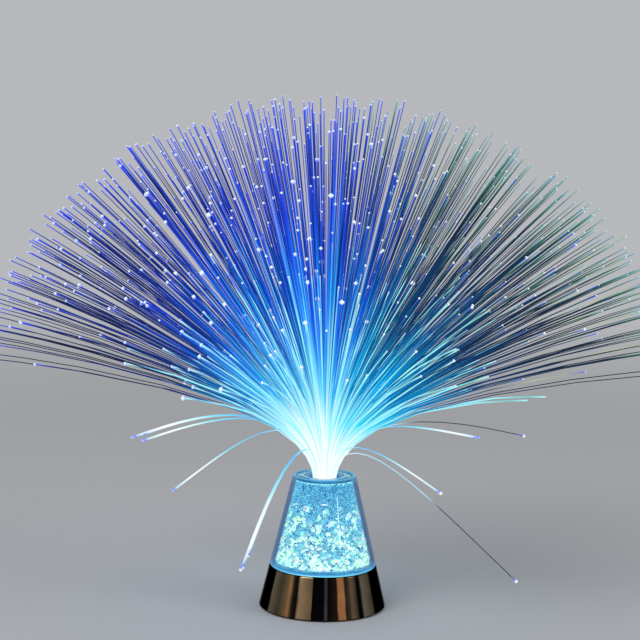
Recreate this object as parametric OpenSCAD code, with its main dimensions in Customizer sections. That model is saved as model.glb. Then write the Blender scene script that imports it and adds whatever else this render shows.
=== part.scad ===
// Battery fibre optic lamp. A chrome skirt holds three cells, a switch and the light board. A clear
// cone full of crystal chips stands on it, and a spray of light guides lifts out of the cone's mouth.
// Millimetres, +Z up. The origin is the centre of the foot, on the table, and the front faces -Y.

/* [Chrome skirt] */
// Diameter of the skirt at its foot
base_d = 85; // [84:1:100]
// Diameter of the skirt's deck, where the cone stands
deck_d = 72; // [71:1:78]
// Height of the skirt from its rim to its deck
skirt_h = 27; // [26.5:0.5:34]
// Thickness of the skirt's wall
skirt_wall = 1.8; // [1.4:0.1:2.2]
// Thickness of the deck
deck_t = 2.5; // [2:0.1:3]
// Diameter of the opening in the deck
deck_hole_d = 54; // [50:1:56]
// Height of the skirt's rim above the table
rim_lift = 1; // [0.6:0.1:1.6]
// Diameter of the posts that the bottom plate is screwed to
post_d = 5.6; // [5:0.1:6]

/* [Clear cone] */
// Height of the cone
cone_h = 61.5; // [50:0.5:80]
// Outer diameter of the cone's mouth
mouth_d = 42.2; // [38:0.2:50]
// Thickness of the cone's wall
cone_wall = 2.7; // [2:0.1:3.4]
// Radius of the rounded edge at the cone's foot
cone_edge = 1.6; // [0.8:0.1:1.8]
// Thickness of the clear floor under the chips
floor_t = 2; // [1.6:0.1:3]
// Depth of the collar below the mouth
collar_drop = 3.5; // [2:0.5:8]
// Thickness of the collar
collar_t = 1.6; // [1.2:0.1:2.4]
// Size of a crystal chip with the space around it
chip_pitch = 7.4; // [7.2:0.1:10]
// Space between a chip and its neighbours
chip_gap = 0.5; // [0.4:0.05:0.8]

/* [Spray of light guides] */
// Diameter of the bonded bundle
bundle_d = 16; // [14:0.2:17]
// Thickness of the ferrule round the bundle
ferrule_wall = 0.5; // [0.4:0.05:0.8]
// Thickness of the tube that the bundle drops into
tube_wall = 1.1; // [0.8:0.1:1.6]
// Clear space between the ferrule and the tube
lift_gap = 0.3; // [0.25:0.05:0.5]
// Thickness of a light guide, corner to corner
strand_d = 0.6; // [0.4:0.02:0.6]
// Length of a light guide above the mouth
strand_len = 256; // [180:1:320]
// Lean of the outermost light guides at the sides
spread = 78; // [50:1:84]
// Lean of the outermost light guides at the front and the back
front_spread = 57; // [40:1:78]
// Extra lean that a light guide's own weight gives its tip
droop = 12; // [0:1:16]

/* [Cells and door] */
// Diameter of a cell
cell_d = 10.5; // [10:0.1:11]
// Length of a cell, with its nub
cell_len = 44.5; // [43:0.1:46]
// Space between the cells
cell_gap = 0.7; // [0.5:0.05:1]
// Thickness of the battery box's walls
box_wall = 1.5; // [1.2:0.1:1.8]
// Length of a contact spring, held between its cell and the end wall
spring_len = 4; // [3.6:0.1:4.6]
// Thickness of the bottom plate
plate_t = 2; // [1.8:0.1:2.6]
// Depth of the bottom plate inside the skirt's rim
plate_recess = 2; // [1.6:0.1:2.4]
// Thickness of the battery door
door_t = 1.8; // [1.5:0.05:1.8]
// Clear space round the door
door_gap = 0.2; // [0.15:0.05:0.4]

/* [Light board and switch] */
// Thickness of the light board
board_t = 1.6; // [1:0.2:2]
// Height of the board above the battery box
board_lift = 1; // [0.8:0.1:1.4]
// Diameter of the middle light's dome
led_d = 5; // [4:0.1:5.4]
// Height of the middle light
led_h = 7.4; // [5:0.1:8]
// Diameter of the circle of small lights
led_ring_d = 40; // [30:1:44]
// Diameter of the leads
lead_d = 1.2; // [0.8:0.1:1.4]
// Travel of the switch's knob
switch_travel = 2; // [1.5:0.1:3]

/* [Hidden] */

round_fn = 96;
small_fn = 32;
seat_gap = 0.2; // between pieces of one assembly that are placed and not pressed
skin = 0.5; // how deep one shape of a moulding starts inside another

// Heights up the middle of the lamp
deck_z = rim_lift + skirt_h;
deck_under = deck_z - deck_t;
floor_z = deck_z + floor_t;
mouth_z = deck_z + cone_h;
collar_z = mouth_z - collar_drop;
plate_z = rim_lift + plate_recess;
plate_top = plate_z + plate_t;
cell_lift = 0.6; // clear space between the door and the cells
cell_z = plate_z + door_t + cell_lift + cell_d / 2;
roof_z = cell_z + cell_d / 2 + cell_gap / 2;
box_top = roof_z + box_wall;
board_z = box_top + board_lift;
board_top = board_z + board_t;

function skirt_r(z) = base_d / 2 + (deck_d - base_d) / 2 * (z - rim_lift) / skirt_h;
function skirt_in(z) = skirt_r(z) - skirt_wall;
function cone_r(z) = deck_d / 2 + (mouth_d - deck_d) / 2 * (z - deck_z) / cone_h;
function cone_in(z) = cone_r(z) - cone_wall;
function unit(v) = v / norm(v);
function arc(c, r, a0, a1, n = 6) =
  [for (i = [0:n]) let (a = a0 + (a1 - a0) * i / n) c + r * [cos(a), sin(a)]];
function sum(rows) = [for (row = rows) 1] * rows;

module turned() {
  rotate_extrude($fn = round_fn) children();
}

module rounded_block(x, y, h, r) {
  corner = [for (s = [[1, 1, 0], [-1, 1, 90], [-1, -1, 180], [1, -1, 270]])
    each arc([s.x * (x / 2 - r), s.y * (y / 2 - r)], r, s.z, s.z + 90)];
  linear_extrude(h) polygon(corner);
}

// ---- Chrome skirt ----------------------------------------------------------------------------
post_r = deck_d / 2 - skirt_wall - post_d / 2 - seat_gap;
post_angles = [90, 200, 340];
screw_d = 2.2;
pilot_gap = 0.1;
pilot_depth = 9;

module at_posts() {
  for (a = post_angles) rotate(a) translate([post_r, 0, 0]) children();
}

module base_skirt() {
  rim_round = 0.6;
  deck_round = 0.8;
  color("silver") difference() {
    union() {
      turned() polygon(concat(
        [[skirt_in(rim_lift), rim_lift]],
        arc([skirt_r(rim_lift + rim_round) - rim_round, rim_lift + rim_round], rim_round, -90, 0),
        arc([skirt_r(deck_z - deck_round) - deck_round, deck_z - deck_round], deck_round, 0, 90),
        [[deck_hole_d / 2, deck_z], [deck_hole_d / 2, deck_under],
         [skirt_in(deck_under), deck_under]]));
      at_posts() translate([0, 0, plate_top])
        cylinder(d = post_d, h = deck_under - plate_top + skin, $fn = small_fn);
    }
    at_posts() translate([0, 0, plate_top - skin])
      cylinder(r = screw_d / 2 + pilot_gap, h = pilot_depth + skin, $fn = small_fn);
  }
}

// ---- Battery box, bottom plate and door ----------------------------------------------------------
cell_pitch = cell_d + cell_gap;
cell_x = [-cell_pitch, 0, cell_pitch];
contact_t = 0.4;
contact_play = 0.3;
nub_len = 1;
box_x = 1.5 * cell_pitch + cell_gap / 2;
box_y = (cell_len + spring_len + contact_play) / 2 + contact_t;
outer_x = box_x + box_wall;
outer_y = box_y + box_wall;

hook_x = cell_pitch / 2;
hook_w = 4;
hook_t = 1.4;
hook_len = 2.8;
hook_lift = 0.1;
hook_slot_h = 4;

tongue_w = 10;
tongue_len = 8;
tongue_hole_y = -box_y - tongue_len / 2;
door_screw_len = 6;
screw_play = 0.5;
head_d = 4.4;
head_h = 1.3;

foot_d = 8;
foot_sink = 0.6;
foot_rim = 1.2; // of the plate, outside a foot's seat
foot_beside = 0.3; // between a foot's seat and the battery box
foot_seat_r = foot_d / 2 + seat_gap;
plate_r = skirt_in(plate_z) - seat_gap;
foot_x = outer_x + foot_beside + foot_seat_r;
foot_y = sqrt(pow(plate_r - foot_rim - foot_seat_r, 2) - pow(foot_x, 2));

lead_gap = 1.25;
lead_x = outer_x + lead_gap + lead_d / 2;
board_r = post_r - post_d / 2 - 2 * seat_gap;
standoff_d = 3.6;
standoff_gap = 0.6;
standoff_rim = 0.3; // of the board, outside a standoff
standoff_x = outer_x + standoff_gap + standoff_d / 2;
standoff_y = sqrt(pow(board_r - standoff_rim - standoff_d / 2, 2) - pow(standoff_x, 2));
standoffs = [[standoff_x, standoff_y], [-standoff_x, -standoff_y]];
tab_z = cell_z;
tab_h = 3;

switch_w = 4.4;
switch_l = 8.6;
switch_h = 4;
switch_roof = 1.4;
switch_gap = 1.7;
switch_x = lead_x + lead_d / 2 + switch_gap + switch_w / 2;
knob_w = 2;
knob_l = 3.2;
knob_gap = 0.3;
knob_foot = 0.5; // height of the knob's underside above the skirt's rim
pin_w = 0.6;
pin_h = 3.2;
pin_step = 2.5;

module at_feet() {
  for (x = [-foot_x, foot_x], y = [-foot_y, foot_y]) translate([x, y, 0]) children();
}

// A countersunk screw, head down at the origin
module screw(length) {
  slot_w = 0.6;
  slot_l = 2.6;
  slot_depth = 0.7;
  difference() {
    union() {
      cylinder(d1 = head_d, d2 = screw_d, h = head_h, $fn = small_fn);
      cylinder(d = screw_d, h = length, $fn = small_fn);
    }
    for (a = [0, 90]) rotate(a)
      translate([-slot_l / 2, -slot_w / 2, -slot_depth]) cube([slot_l, slot_w, 2 * slot_depth]);
  }
}

module screw_hole(depth, play) {
  cylinder(d1 = head_d + 2 * play, d2 = screw_d + 2 * play, h = head_h, $fn = small_fn);
  cylinder(d = screw_d + 2 * play, h = depth, $fn = small_fn);
}

module bottom_plate() {
  boss_h = door_screw_len + 0.5;
  pad = 4;
  slot_len = knob_l + switch_travel + 2 * knob_gap;
  color("dimgray") difference() {
    union() {
      translate([0, 0, plate_z])
        cylinder(r1 = plate_r, r2 = skirt_in(plate_top) - seat_gap,
                 h = plate_t, $fn = round_fn);
      translate([0, 0, plate_z]) rounded_block(2 * outer_x, 2 * outer_y, box_top - plate_z, 1);
      translate([-tongue_w / 2, -box_y - tongue_len, plate_z + door_t])
        cube([tongue_w, tongue_len, boss_h - door_t]);
      for (p = standoffs) translate([p.x, p.y, plate_z + skin])
        cylinder(d = standoff_d, h = board_z - plate_z - skin, $fn = small_fn);
      for (s = [-1, 1]) translate([-pad / 2, s * box_y * 0.7 - pad / 2, box_top - skin])
        cube([pad, pad, board_lift + skin]);
    }
    // The inside of the battery box, open below
    translate([-box_x, -box_y, plate_z - skin]) cube([2 * box_x, 2 * box_y, roof_z - plate_z + skin]);
    // The door's tongue and its screw
    translate([-tongue_w / 2 - door_gap, -box_y - tongue_len - door_gap, plate_z - skin])
      cube([tongue_w + 2 * door_gap, tongue_len + door_gap + skin, door_t + skin]);
    translate([0, tongue_hole_y, plate_z])
      cylinder(d = screw_d + 2 * screw_play, h = boss_h + skin, $fn = small_fn);
    // Slots in the end wall for the door's hooks
    for (s = [-1, 1])
      translate([s * hook_x - hook_w / 2 - door_gap, box_y - skin, plate_top])
        cube([hook_w + 2 * door_gap, box_wall + 2 * skin, hook_slot_h]);
    // Slots for the two solder tabs
    for (s = [-1, 1]) translate([s < 0 ? -outer_x - skin : box_x - skin,
                                 s < 0 ? box_y - contact_t : -box_y, tab_z - seat_gap])
      cube([box_wall + 2 * skin, contact_t, tab_h + 2 * seat_gap]);
    // The switch's slot, the screw holes, the seats of the feet and the board's pilot holes
    translate([switch_x - knob_w / 2 - knob_gap, -slot_len / 2, plate_z - skin])
      cube([knob_w + 2 * knob_gap, slot_len, plate_t + 2 * skin]);
    at_posts() translate([0, 0, plate_z]) screw_hole(plate_t + skin, pilot_gap);
    at_feet() translate([0, 0, plate_z - skin])
      cylinder(r = foot_seat_r, h = foot_sink + skin, $fn = small_fn);
    for (p = standoffs) translate([p.x, p.y, board_z - pilot_depth])
      cylinder(r = screw_d / 2 + pilot_gap, h = pilot_depth + skin, $fn = small_fn);
  }
}

module plate_screws() {
  color("gray") at_posts() translate([0, 0, plate_z]) screw(plate_t + pilot_depth - 1);
}

module rubber_feet() {
  dish = 0.4;
  color("black") at_feet() difference() {
    cylinder(d = foot_d, h = plate_z + foot_sink, $fn = small_fn);
    translate([0, 0, -skin]) cylinder(d = foot_d / 2, h = skin + dish, $fn = small_fn);
  }
}

module battery_door() {
  neck = 1.2;
  grip_n = 4;
  grip_w = 0.8;
  color("dimgray") difference() {
    union() {
      translate([-box_x + door_gap, -box_y - skin, plate_z])
        cube([2 * (box_x - door_gap), 2 * box_y + skin - door_gap, door_t]);
      translate([-tongue_w / 2, -box_y - tongue_len, plate_z])
        cube([tongue_w, tongue_len, door_t]);
      for (s = [-1, 1]) translate([s * hook_x - hook_w / 2, box_y - door_gap, plate_z]) {
        translate([0, -neck, door_t - skin])
          cube([hook_w, neck, plate_t - door_t + hook_lift + hook_t + skin]);
        translate([0, -skin, plate_t + hook_lift]) cube([hook_w, hook_len + skin, hook_t]);
      }
    }
    // The door stops at the box's end wall, except for its tongue
    for (s = [-1, 1])
      translate([s > 0 ? tongue_w / 2 : -box_x, -box_y - skin - 1, plate_z - skin])
        cube([box_x - tongue_w / 2, skin + 1 + door_gap, door_t + 2 * skin]);
    translate([0, tongue_hole_y, plate_z - skin / 10]) screw_hole(door_t + skin, pilot_gap);
    // Finger ribs cut into the underside
    for (i = [0:grip_n - 1]) translate([-box_x / 2, -box_y * 0.7 + i * 2.4, plate_z - skin])
      cube([box_x, grip_w, skin + 0.4]);
  }
}

module door_screw() {
  color("gray") translate([0, tongue_hole_y, plate_z]) screw(door_screw_len);
}

// A cell lies along Y, with its nub at +Y where up is 1 and at -Y where it is -1
cell_up = [1, -1, 1];
module cell(i) {
  nub_d = 3.8;
  crimp = 0.5;
  tip_y = box_y - contact_t - contact_play;
  body_len = cell_len - nub_len;
  translate([cell_x[i], 0, cell_z]) mirror([0, cell_up[i] < 0 ? 1 : 0, 0])
    translate([0, tip_y, 0]) rotate([90, 0, 0]) rotate_extrude($fn = small_fn * 2)
      polygon([[0, 0], [nub_d / 2, 0], [nub_d / 2, nub_len], [cell_d / 2 - crimp, nub_len],
               [cell_d / 2, nub_len + crimp], [cell_d / 2, cell_len - crimp],
               [cell_d / 2 - crimp, cell_len], [0, cell_len]]);
}

// ---- Springs and contacts ----------------------------------------------------------------------
// One ring of a tube round point p, square to direction t, with its first corner towards u
function ring(p, t, u, r, sides) =
  let (b = unit(cross(t, u)), n = cross(b, t))
  [for (j = [0:sides - 1]) p + r * (cos(360 * j / sides) * n + sin(360 * j / sides) * b)];

function tube_faces(rings, sides) = concat(
  [for (j = [1:sides - 2]) [0, j, j + 1]],
  [for (i = [0:rings - 2], j = [0:sides - 1])
    let (a = i * sides + j, b = i * sides + (j + 1) % sides)
    each [[a, b + sides, b], [a, a + sides, b + sides]]],
  let (e = (rings - 1) * sides) [for (j = [1:sides - 2]) [e, e + j + 1, e + j]]);

// A tube through the points path, where aim holds each point's direction and side a way across it
module tube(path, aim, side, r, sides) {
  polyhedron([for (i = [0:len(path) - 1]) each ring(path[i], aim[i], side[i], r, sides)],
             tube_faces(len(path), sides));
}

spring_wire = 0.6;
spring_turns = 2.5;
spring_r = [3.3, 2.4]; // radius of the coil at the contact and at the cell
rings_a_turn = 8;
spring_sides = 6;
spring_steps = spring_turns * rings_a_turn;
spring_rise = spring_len - 2 * spring_wire;

function spring_side(i) = let (a = 360 * i / rings_a_turn) [cos(a), sin(a), 0];
function spring_point(i) =
  (spring_r[0] + (spring_r[1] - spring_r[0]) * i / spring_steps) * spring_side(i)
  + [0, 0, spring_wire + spring_rise * i / spring_steps];
spring_path = concat(
  [spring_point(0) - [0, 0, spring_wire]],
  [for (i = [0:spring_steps]) spring_point(i)],
  [spring_point(spring_steps) + [0, 0, spring_wire]]);
spring_last = len(spring_path) - 1;
spring_aim = [for (i = [0:spring_last])
  i == 0 || i == spring_last ? [0, 0, 1]
  : unit(unit(spring_path[i + 1] - spring_path[i]) + unit(spring_path[i] - spring_path[i - 1]))];
spring_sides_at = [for (i = [0:spring_last]) spring_side(min(max(i - 1, 0), spring_steps))];
// Least clear space between one turn and the next, over every pair of points half a turn apart or more
spring_clear = min([for (i = [1:spring_last - 1], j = [i + rings_a_turn / 2:1:spring_last - 1])
  norm(spring_path[i] - spring_path[j])]) - spring_wire;
echo(least_space_between_turns_of_a_contact_spring = spring_clear);

module battery_springs() {
  color("gainsboro") for (i = [0:2])
    translate([cell_x[i], 0, cell_z]) mirror([0, cell_up[i] < 0 ? 1 : 0, 0])
      translate([0, -box_y + contact_t, 0]) rotate([-90, 0, 0])
        tube(spring_path, spring_aim, spring_sides_at, spring_wire / 2, spring_sides);
}

module contact_plates() {
  plate_w = 8;
  plate_h = 5.5;
  foot_z = cell_z - 1.5;
  far_y = box_y - contact_t;
  color("gainsboro") {
    // One plate joins two cells at each end
    translate([cell_x[1] - plate_w / 2, far_y, foot_z])
      cube([cell_pitch + plate_w, contact_t, plate_h]);
    translate([cell_x[0] - plate_w / 2, -box_y, foot_z])
      cube([cell_pitch + plate_w, contact_t, plate_h]);
    // The end plates carry the solder tabs, which come out through the side walls
    for (s = [-1, 1]) translate([0, s < 0 ? far_y : -box_y, 0]) {
      translate([s < 0 ? cell_x[0] - plate_w / 2 : cell_x[2] - plate_w / 2 + 0.4, 0, foot_z])
        cube([plate_w - 0.4, contact_t, plate_h]);
      translate([s < 0 ? -lead_x - lead_d / 2 : cell_x[2], 0, tab_z])
        cube([lead_x + lead_d / 2 - cell_x[2], contact_t, tab_h]);
    }
  }
}

// ---- Switch and leads ----------------------------------------------------------------------------
module switch_body() {
  well = knob_l + switch_travel + 2 * knob_gap;
  color("dimgray") difference() {
    translate([switch_x - switch_w / 2, -switch_l / 2, plate_top]) cube([switch_w, switch_l, switch_h]);
    translate([switch_x - knob_w / 2 - knob_gap, -well / 2, plate_top - skin])
      cube([knob_w + 2 * knob_gap, well, switch_h - switch_roof + skin]);
  }
}

module switch_pins() {
  color("gainsboro") for (i = [-1:1])
    translate([switch_x - pin_w / 2, i * pin_step - pin_w / 2, plate_top + switch_h])
      cube([pin_w, pin_w, pin_h]);
}

module switch_knob() {
  top = plate_top + switch_h - switch_roof - knob_gap;
  foot = rim_lift + knob_foot;
  ridge = 0.5;
  color("black") translate([switch_x - knob_w / 2, -switch_travel / 2 - knob_l / 2, 0]) {
    translate([0, 0, foot + ridge]) cube([knob_w, knob_l, top - foot - ridge]);
    for (i = [0:2]) translate([0, i * (knob_l - 2 * ridge) / 2 + ridge / 2, foot])
      cube([knob_w, ridge, 2 * ridge]);
  }
}

// A lead of square turns through the points, with round bends
module lead(points, bend) {
  last = len(points) - 1;
  way = [for (i = [0:last - 1]) unit(points[i + 1] - points[i])];
  for (i = [0:last - 1]) {
    from = points[i] + (i > 0 ? bend : 0) * way[i];
    to = points[i + 1] - (i < last - 1 ? bend : 0) * way[i];
    across = abs(way[i].z) > 0.5 ? [1, 0, 0] : [0, 0, 1];
    other = cross(way[i], across);
    multmatrix([[across.x, other.x, way[i].x, from.x], [across.y, other.y, way[i].y, from.y],
                [across.z, other.z, way[i].z, from.z], [0, 0, 0, 1]])
      cylinder(d = lead_d, h = norm(to - from), $fn = small_fn);
  }
  for (i = [1:1:last - 1]) {
    x = -way[i];
    y = way[i - 1];
    z = cross(x, y);
    c = points[i] + bend * (way[i] - way[i - 1]);
    multmatrix([[x.x, y.x, z.x, c.x], [x.y, y.y, z.y, c.y], [x.z, y.z, z.z, c.z], [0, 0, 0, 1]])
      rotate_extrude(angle = 90, $fn = small_fn) translate([bend, 0]) circle(d = lead_d, $fn = small_fn);
  }
}

lead_z = tab_z + tab_h / 2;
lead_bend = 2;

module positive_lead() {
  rise_y = 10.5;
  color("red") lead([[-lead_x, box_y - contact_t, lead_z], [-lead_x, rise_y, lead_z],
                     [-lead_x, rise_y, board_z]], lead_bend);
}

module negative_lead() {
  color("black") lead([[lead_x, contact_t - box_y, lead_z], [lead_x, -pin_step, lead_z],
                       [switch_x - pin_w / 2, -pin_step, lead_z]], lead_bend);
}

module switch_lead() {
  color("red") lead([[switch_x, 0, plate_top + switch_h + pin_h], [switch_x, 0, board_z]], lead_bend);
}

// ---- Light board -------------------------------------------------------------------------------
small_led_d = 3;
small_led_h = 4.4;
led_count = 6;

module light_board() {
  color("darkgreen") difference() {
    translate([0, 0, board_z]) cylinder(r = board_r, h = board_t, $fn = round_fn);
    for (p = standoffs) translate([p.x, p.y, board_z - skin])
      cylinder(d = screw_d + 2 * seat_gap, h = board_t + 2 * skin, $fn = small_fn);
  }
}

module board_screws() {
  head_t = 1.1;
  shank = board_t + 6;
  color("gray") for (p = standoffs) translate([p.x, p.y, board_top]) difference() {
    union() {
      translate([0, 0, -shank]) cylinder(d = screw_d, h = shank + skin, $fn = small_fn);
      cylinder(d = head_d - 0.4, h = head_t, $fn = small_fn);
    }
    for (a = [0, 90]) rotate(a) translate([-1.2, -0.3, head_t - skin]) cube([2.4, 0.6, 1]);
  }
}

module light(d, h) {
  flange = 0.4;
  cylinder(d = d + 2 * flange, h = 1, $fn = small_fn);
  cylinder(d = d, h = h - d / 2, $fn = small_fn);
  translate([0, 0, h - d / 2]) difference() {
    sphere(d = d, $fn = small_fn);
    translate([-d, -d, -2 * d]) cube(2 * d);
  }
}

module centre_led() {
  color("white") translate([0, 0, board_top]) light(led_d, led_h);
}

module ring_leds() {
  color("lightcyan") for (i = [0:led_count - 1]) rotate((i + 0.5) * 360 / led_count)
    translate([led_ring_d / 2, 0, board_top]) light(small_led_d, small_led_h);
}

module resistors() {
  body_d = 1.8;
  body_l = 3.4;
  color("tan") for (i = [-1:1]) translate([i * 4, -led_ring_d / 4 - 1, board_top + body_d / 2])
    rotate([90, 0, 0]) cylinder(d = body_d, h = body_l, center = true, $fn = small_fn);
}

module control_chip() {
  color("black") translate([-2.5, led_ring_d / 4 - 1.5, board_top]) {
    translate([0, 0, 0.3]) cube([5, 4, 1.4]);
    for (i = [0:3], s = [0, 1]) translate([i * 1.27 + 0.4, s > 0 ? 3.8 : -0.8, 0]) cube([0.4, 1, 0.6]);
  }
}

// ---- Clear cone --------------------------------------------------------------------------------
light_hole_gap = 0.7;
light_hole_d = led_d + 2 * light_hole_gap;

module cone_floor() {
  spigot_r = deck_hole_d / 2 - 0.3;
  spigot_wall = 1.5;
  hook_h = 1.4;
  hook_out = 1.2;
  edge_r = cone_in(floor_z) - seat_gap;
  color("azure") difference() {
    union() {
      translate([0, 0, deck_z]) cylinder(r = edge_r, h = floor_t, $fn = round_fn);
      turned() translate([spigot_r - spigot_wall, deck_under - hook_h - 0.1])
        square([spigot_wall, deck_t + hook_h + 0.1 + skin]);
      // Three hooks catch under the deck, between the posts
      for (a = post_angles) rotate(a + 60 - 9)
        translate([0, 0, deck_under - hook_h - 0.1]) rotate_extrude(angle = 18, $fn = round_fn)
          polygon([[spigot_r - skin, 0], [spigot_r + 0.3, 0], [spigot_r + hook_out, hook_h],
                   [spigot_r - skin, hook_h]]);
    }
    translate([0, 0, deck_z - skin]) cylinder(d = light_hole_d, h = floor_t + 2 * skin, $fn = small_fn);
  }
}

module clear_cone() {
  lip = cone_wall / 2 - 0.15;
  foot = cone_edge;
  top_z = mouth_z - lip;
  color("lightblue") turned() polygon(concat(
    [[cone_in(deck_z), deck_z]],
    arc([cone_r(deck_z + foot) - foot, deck_z + foot], foot, -90, 0),
    arc([cone_r(top_z) - lip, top_z], lip, 0, 90),
    arc([cone_in(top_z) + lip, top_z], lip, 90, 180)));
}

tube_in = bundle_d / 2 + 0.1 + ferrule_wall + lift_gap;
tube_out = tube_in + tube_wall;
tube_top = collar_z + 1.2;

module top_collar() {
  under_z = collar_z - collar_t;
  hole = tube_out + 0.1;
  rib = 1.1;
  rib_r = (tube_out + cone_in(collar_z)) / 2;
  color("lightblue") turned() {
    polygon([[hole, under_z], [cone_in(under_z) - seat_gap, under_z],
             [cone_in(collar_z) - seat_gap, collar_z], [hole, collar_z]]);
    translate([rib_r - rib / 2, collar_z - skin]) square([rib, skin + 0.7]);
  }
}

module centre_tube() {
  color("lightblue") turned() polygon([[tube_in, floor_z], [tube_out, floor_z],
    [tube_out, tube_top - 0.4], [tube_out - 0.4, tube_top], [tube_in, tube_top]]);
}

// Chips fill the ring between the tube and the cone's wall. Each has its own cell in a layer, and
// each corner is pulled towards the cell's middle by its own share.
chip_seed = 13;
chip_pull = 0.24; // most that a corner is drawn in, as a share of the chip
chip_room = collar_z - collar_t - floor_z;
chip_layers = floor(chip_room / chip_pitch);
chip_h = chip_room / chip_layers;
function chip_rings(z) = max(1, round((cone_in(z) - tube_out) / chip_pitch));
function chip_r(ring, rings, z) =
  let (low = tube_out + chip_gap / 2, high = cone_in(z) - chip_gap / 2) low + (high - low) * ring / rings;

module chip(layer, ring, rings, start, turn, seed) {
  pull = rands(0, chip_pull, 24, seed);
  z = [for (k = [0, 1]) floor_z + (layer + k) * chip_h];
  half = [for (k = [0, 1], j = [0, 1], i = [0, 1])
    let (q = 4 * k + 2 * j + i, r = chip_r(ring + j, rings, z[k]),
         side = r + (j == 0 ? 1 : -1) * (chip_gap / 2 + pull[q] * chip_pitch / 2),
         edge = asin(chip_gap / 2 / r) + pull[q + 8] * turn / 2,
         a = i == 0 ? start + edge : start + turn - edge)
    [side * cos(a), side * sin(a),
     z[k] + (k == 0 ? 1 : -1) * (chip_gap / 2 + pull[q + 16] * chip_h / 2)]];
  polyhedron(half, [[0, 1, 3], [0, 3, 2], [4, 7, 5], [4, 6, 7], [0, 5, 1], [0, 4, 5],
                    [2, 3, 7], [2, 7, 6], [0, 2, 6], [0, 6, 4], [1, 5, 7], [1, 7, 3]]);
}

module crystal_chips() {
  color("lightcyan") for (layer = [0:chip_layers - 1]) {
    z = floor_z + (layer + 1) * chip_h;
    rings = chip_rings(z);
    for (ring = [0:rings - 1]) {
      count = max(3, round(2 * PI * chip_r(ring + 0.5, rings, z) / chip_pitch));
      turn = 360 / count;
      for (i = [0:count - 1])
        chip(layer, ring, rings, i * turn + 23 * layer + 11 * ring, turn,
             chip_seed + 1000 * layer + 100 * ring + i);
    }
  }
}

// ---- Bundle of light guides ---------------------------------------------------------------------
core_top = mouth_z - 5;
face_z = mouth_z - 1; // the bundle's top face, where the light guides part
bundle_r = bundle_d / 2;

module bundle_ferrule() {
  in_r = bundle_r + 0.1;
  out_r = in_r + ferrule_wall;
  lip = 0.8;
  lip_t = 0.4;
  top = face_z - 0.6;
  color("gray") turned() polygon([[in_r - lip, floor_z], [out_r, floor_z], [out_r, top],
    [in_r, top], [in_r, floor_z + lip_t], [in_r - lip, floor_z + lip_t]]);
}

module bonded_core() {
  color("white") translate([0, 0, floor_z + 0.4])
    cylinder(r = bundle_r, h = core_top - floor_z - 0.4, $fn = round_fn);
}

// The light guides stand in rings in the bundle's face, and lean out more the further out they stand.
sectors = 8;
sector_turn = 360 / sectors;
strand_rings = 10;
strand_sides = 3;
ring_step = 0.69;
strand_step = 0.9;
edge_margin = 0.7;
fan_start = 0.1; // share of its full lean that a light guide has at the face
fan_reach = 30; // length over which most of the bend happens
sink = 1.5; // depth of a light guide's foot in the face
bend_stations = fan_reach * [0, 0.47, 1.4, 3.3]; // along a light guide, closer where it bends more
wander = 4; // degrees that the full leans of a ring's light guides differ by
long_part = 0.76; // share of the light guides that keep nearly their full length
middle_part = 0.16; // share that is cut to middle lengths; the rest is short
wander_step = 0.618034;
kind_step = 0.754878;
length_step = 0.56984;

function ring_r(k) = bundle_r - edge_margin - (strand_rings - k) * ring_step;
function ring_count(k) = max(1, round(ring_r(k) * PI * 2 / sectors / strand_step));
// A light guide's number, and an even scatter of the numbers between 0 and 1
function strand_number(sector, k, place) = 100 * sector + 10 * k + place;
function scatter(number, step) = number * step - floor(number * step);
function strand_length(number) =
  let (kind = scatter(number, kind_step), more = scatter(number, length_step))
  strand_len * (kind < long_part ? 0.965 + 0.035 * more
                : kind < long_part + middle_part ? 0.62 + 0.33 * more : 0.42 + 0.18 * more);
function full_lean(k, azimuth) =
  let (widest = spread - (spread - front_spread) * pow(sin(azimuth), 2))
  acos(1 - (1 - cos(widest)) * pow(ring_r(k) / bundle_r, 2));
function lean(full, s) =
  full * (fan_start + (1 - fan_start) * (1 - exp(-s / fan_reach)))
  + droop * sin(full) * pow(s / strand_len, 1.5);
// Travel out and up of a light guide between two places along it
function travel(leans) = sum([for (a = leans) [sin(a), cos(a)]]);
function leg(full, s0, s1, n = 6) =
  let (d = (s1 - s0) / n) d * travel([for (i = [0:n - 1]) lean(full, s0 + (i + 0.5) * d)]);
function outline(full, r, stations) =
  [for (i = 0, p = [r, face_z]; i < len(stations);
        p = i + 1 < len(stations) ? p + leg(full, stations[i], stations[i + 1]) : p, i = i + 1) p];

// A light guide in the upright plane at an azimuth, from its outline of radius and height
module strand(flat, leans, azimuth, sunk = sink) {
  foot = flat[0] - sunk * unit(flat[1] - flat[0]);
  line = concat([foot], [for (i = [1:len(flat) - 1]) flat[i]]);
  out = [cos(azimuth), sin(azimuth), 0];
  up = [0, 0, 1];
  first = unit(flat[1] - flat[0]);
  aim = [for (i = [0:len(line) - 1])
    i == 0 ? first.x * out + first.y * up : sin(leans[i]) * out + cos(leans[i]) * up];
  side = [for (t = aim) t.z * out - (t * out) * up];
  tube([for (p = line) p.x * out + p.y * up], aim, side, strand_d / 2, strand_sides);
}

// Light guides that hang apart from the spray: sector and place in the outer ring, then the full
// turn from upright, the length of the bend and the length of the light guide
strays = [
  [3, 1, 116, 52, 180], [3, 0, 112, 44, 190], [2, 4, 120, 38, 230], [5, 3, 136, 52, 170],
  [1, 0, 104, 32, 180], [6, 3, 100, 32, 160], [6, 4, 112, 32, 210], [7, 1, 100, 52, 160]
];
stray_stations = [0, 8, 18, 32, 52, 84, 130];
function is_stray(sector, place) =
  len([for (s = strays) if (s[0] == sector && s[1] == place) s]) > 0;
function place_azimuth(sector, place, count) = (sector + (place + 0.5) / count) * sector_turn;

plug_d = 0.8;
plug_depth = 3;
plug_sink = 0.3; // depth of a stray light guide's foot in its plug
plug_gap = 0.05;

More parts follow.
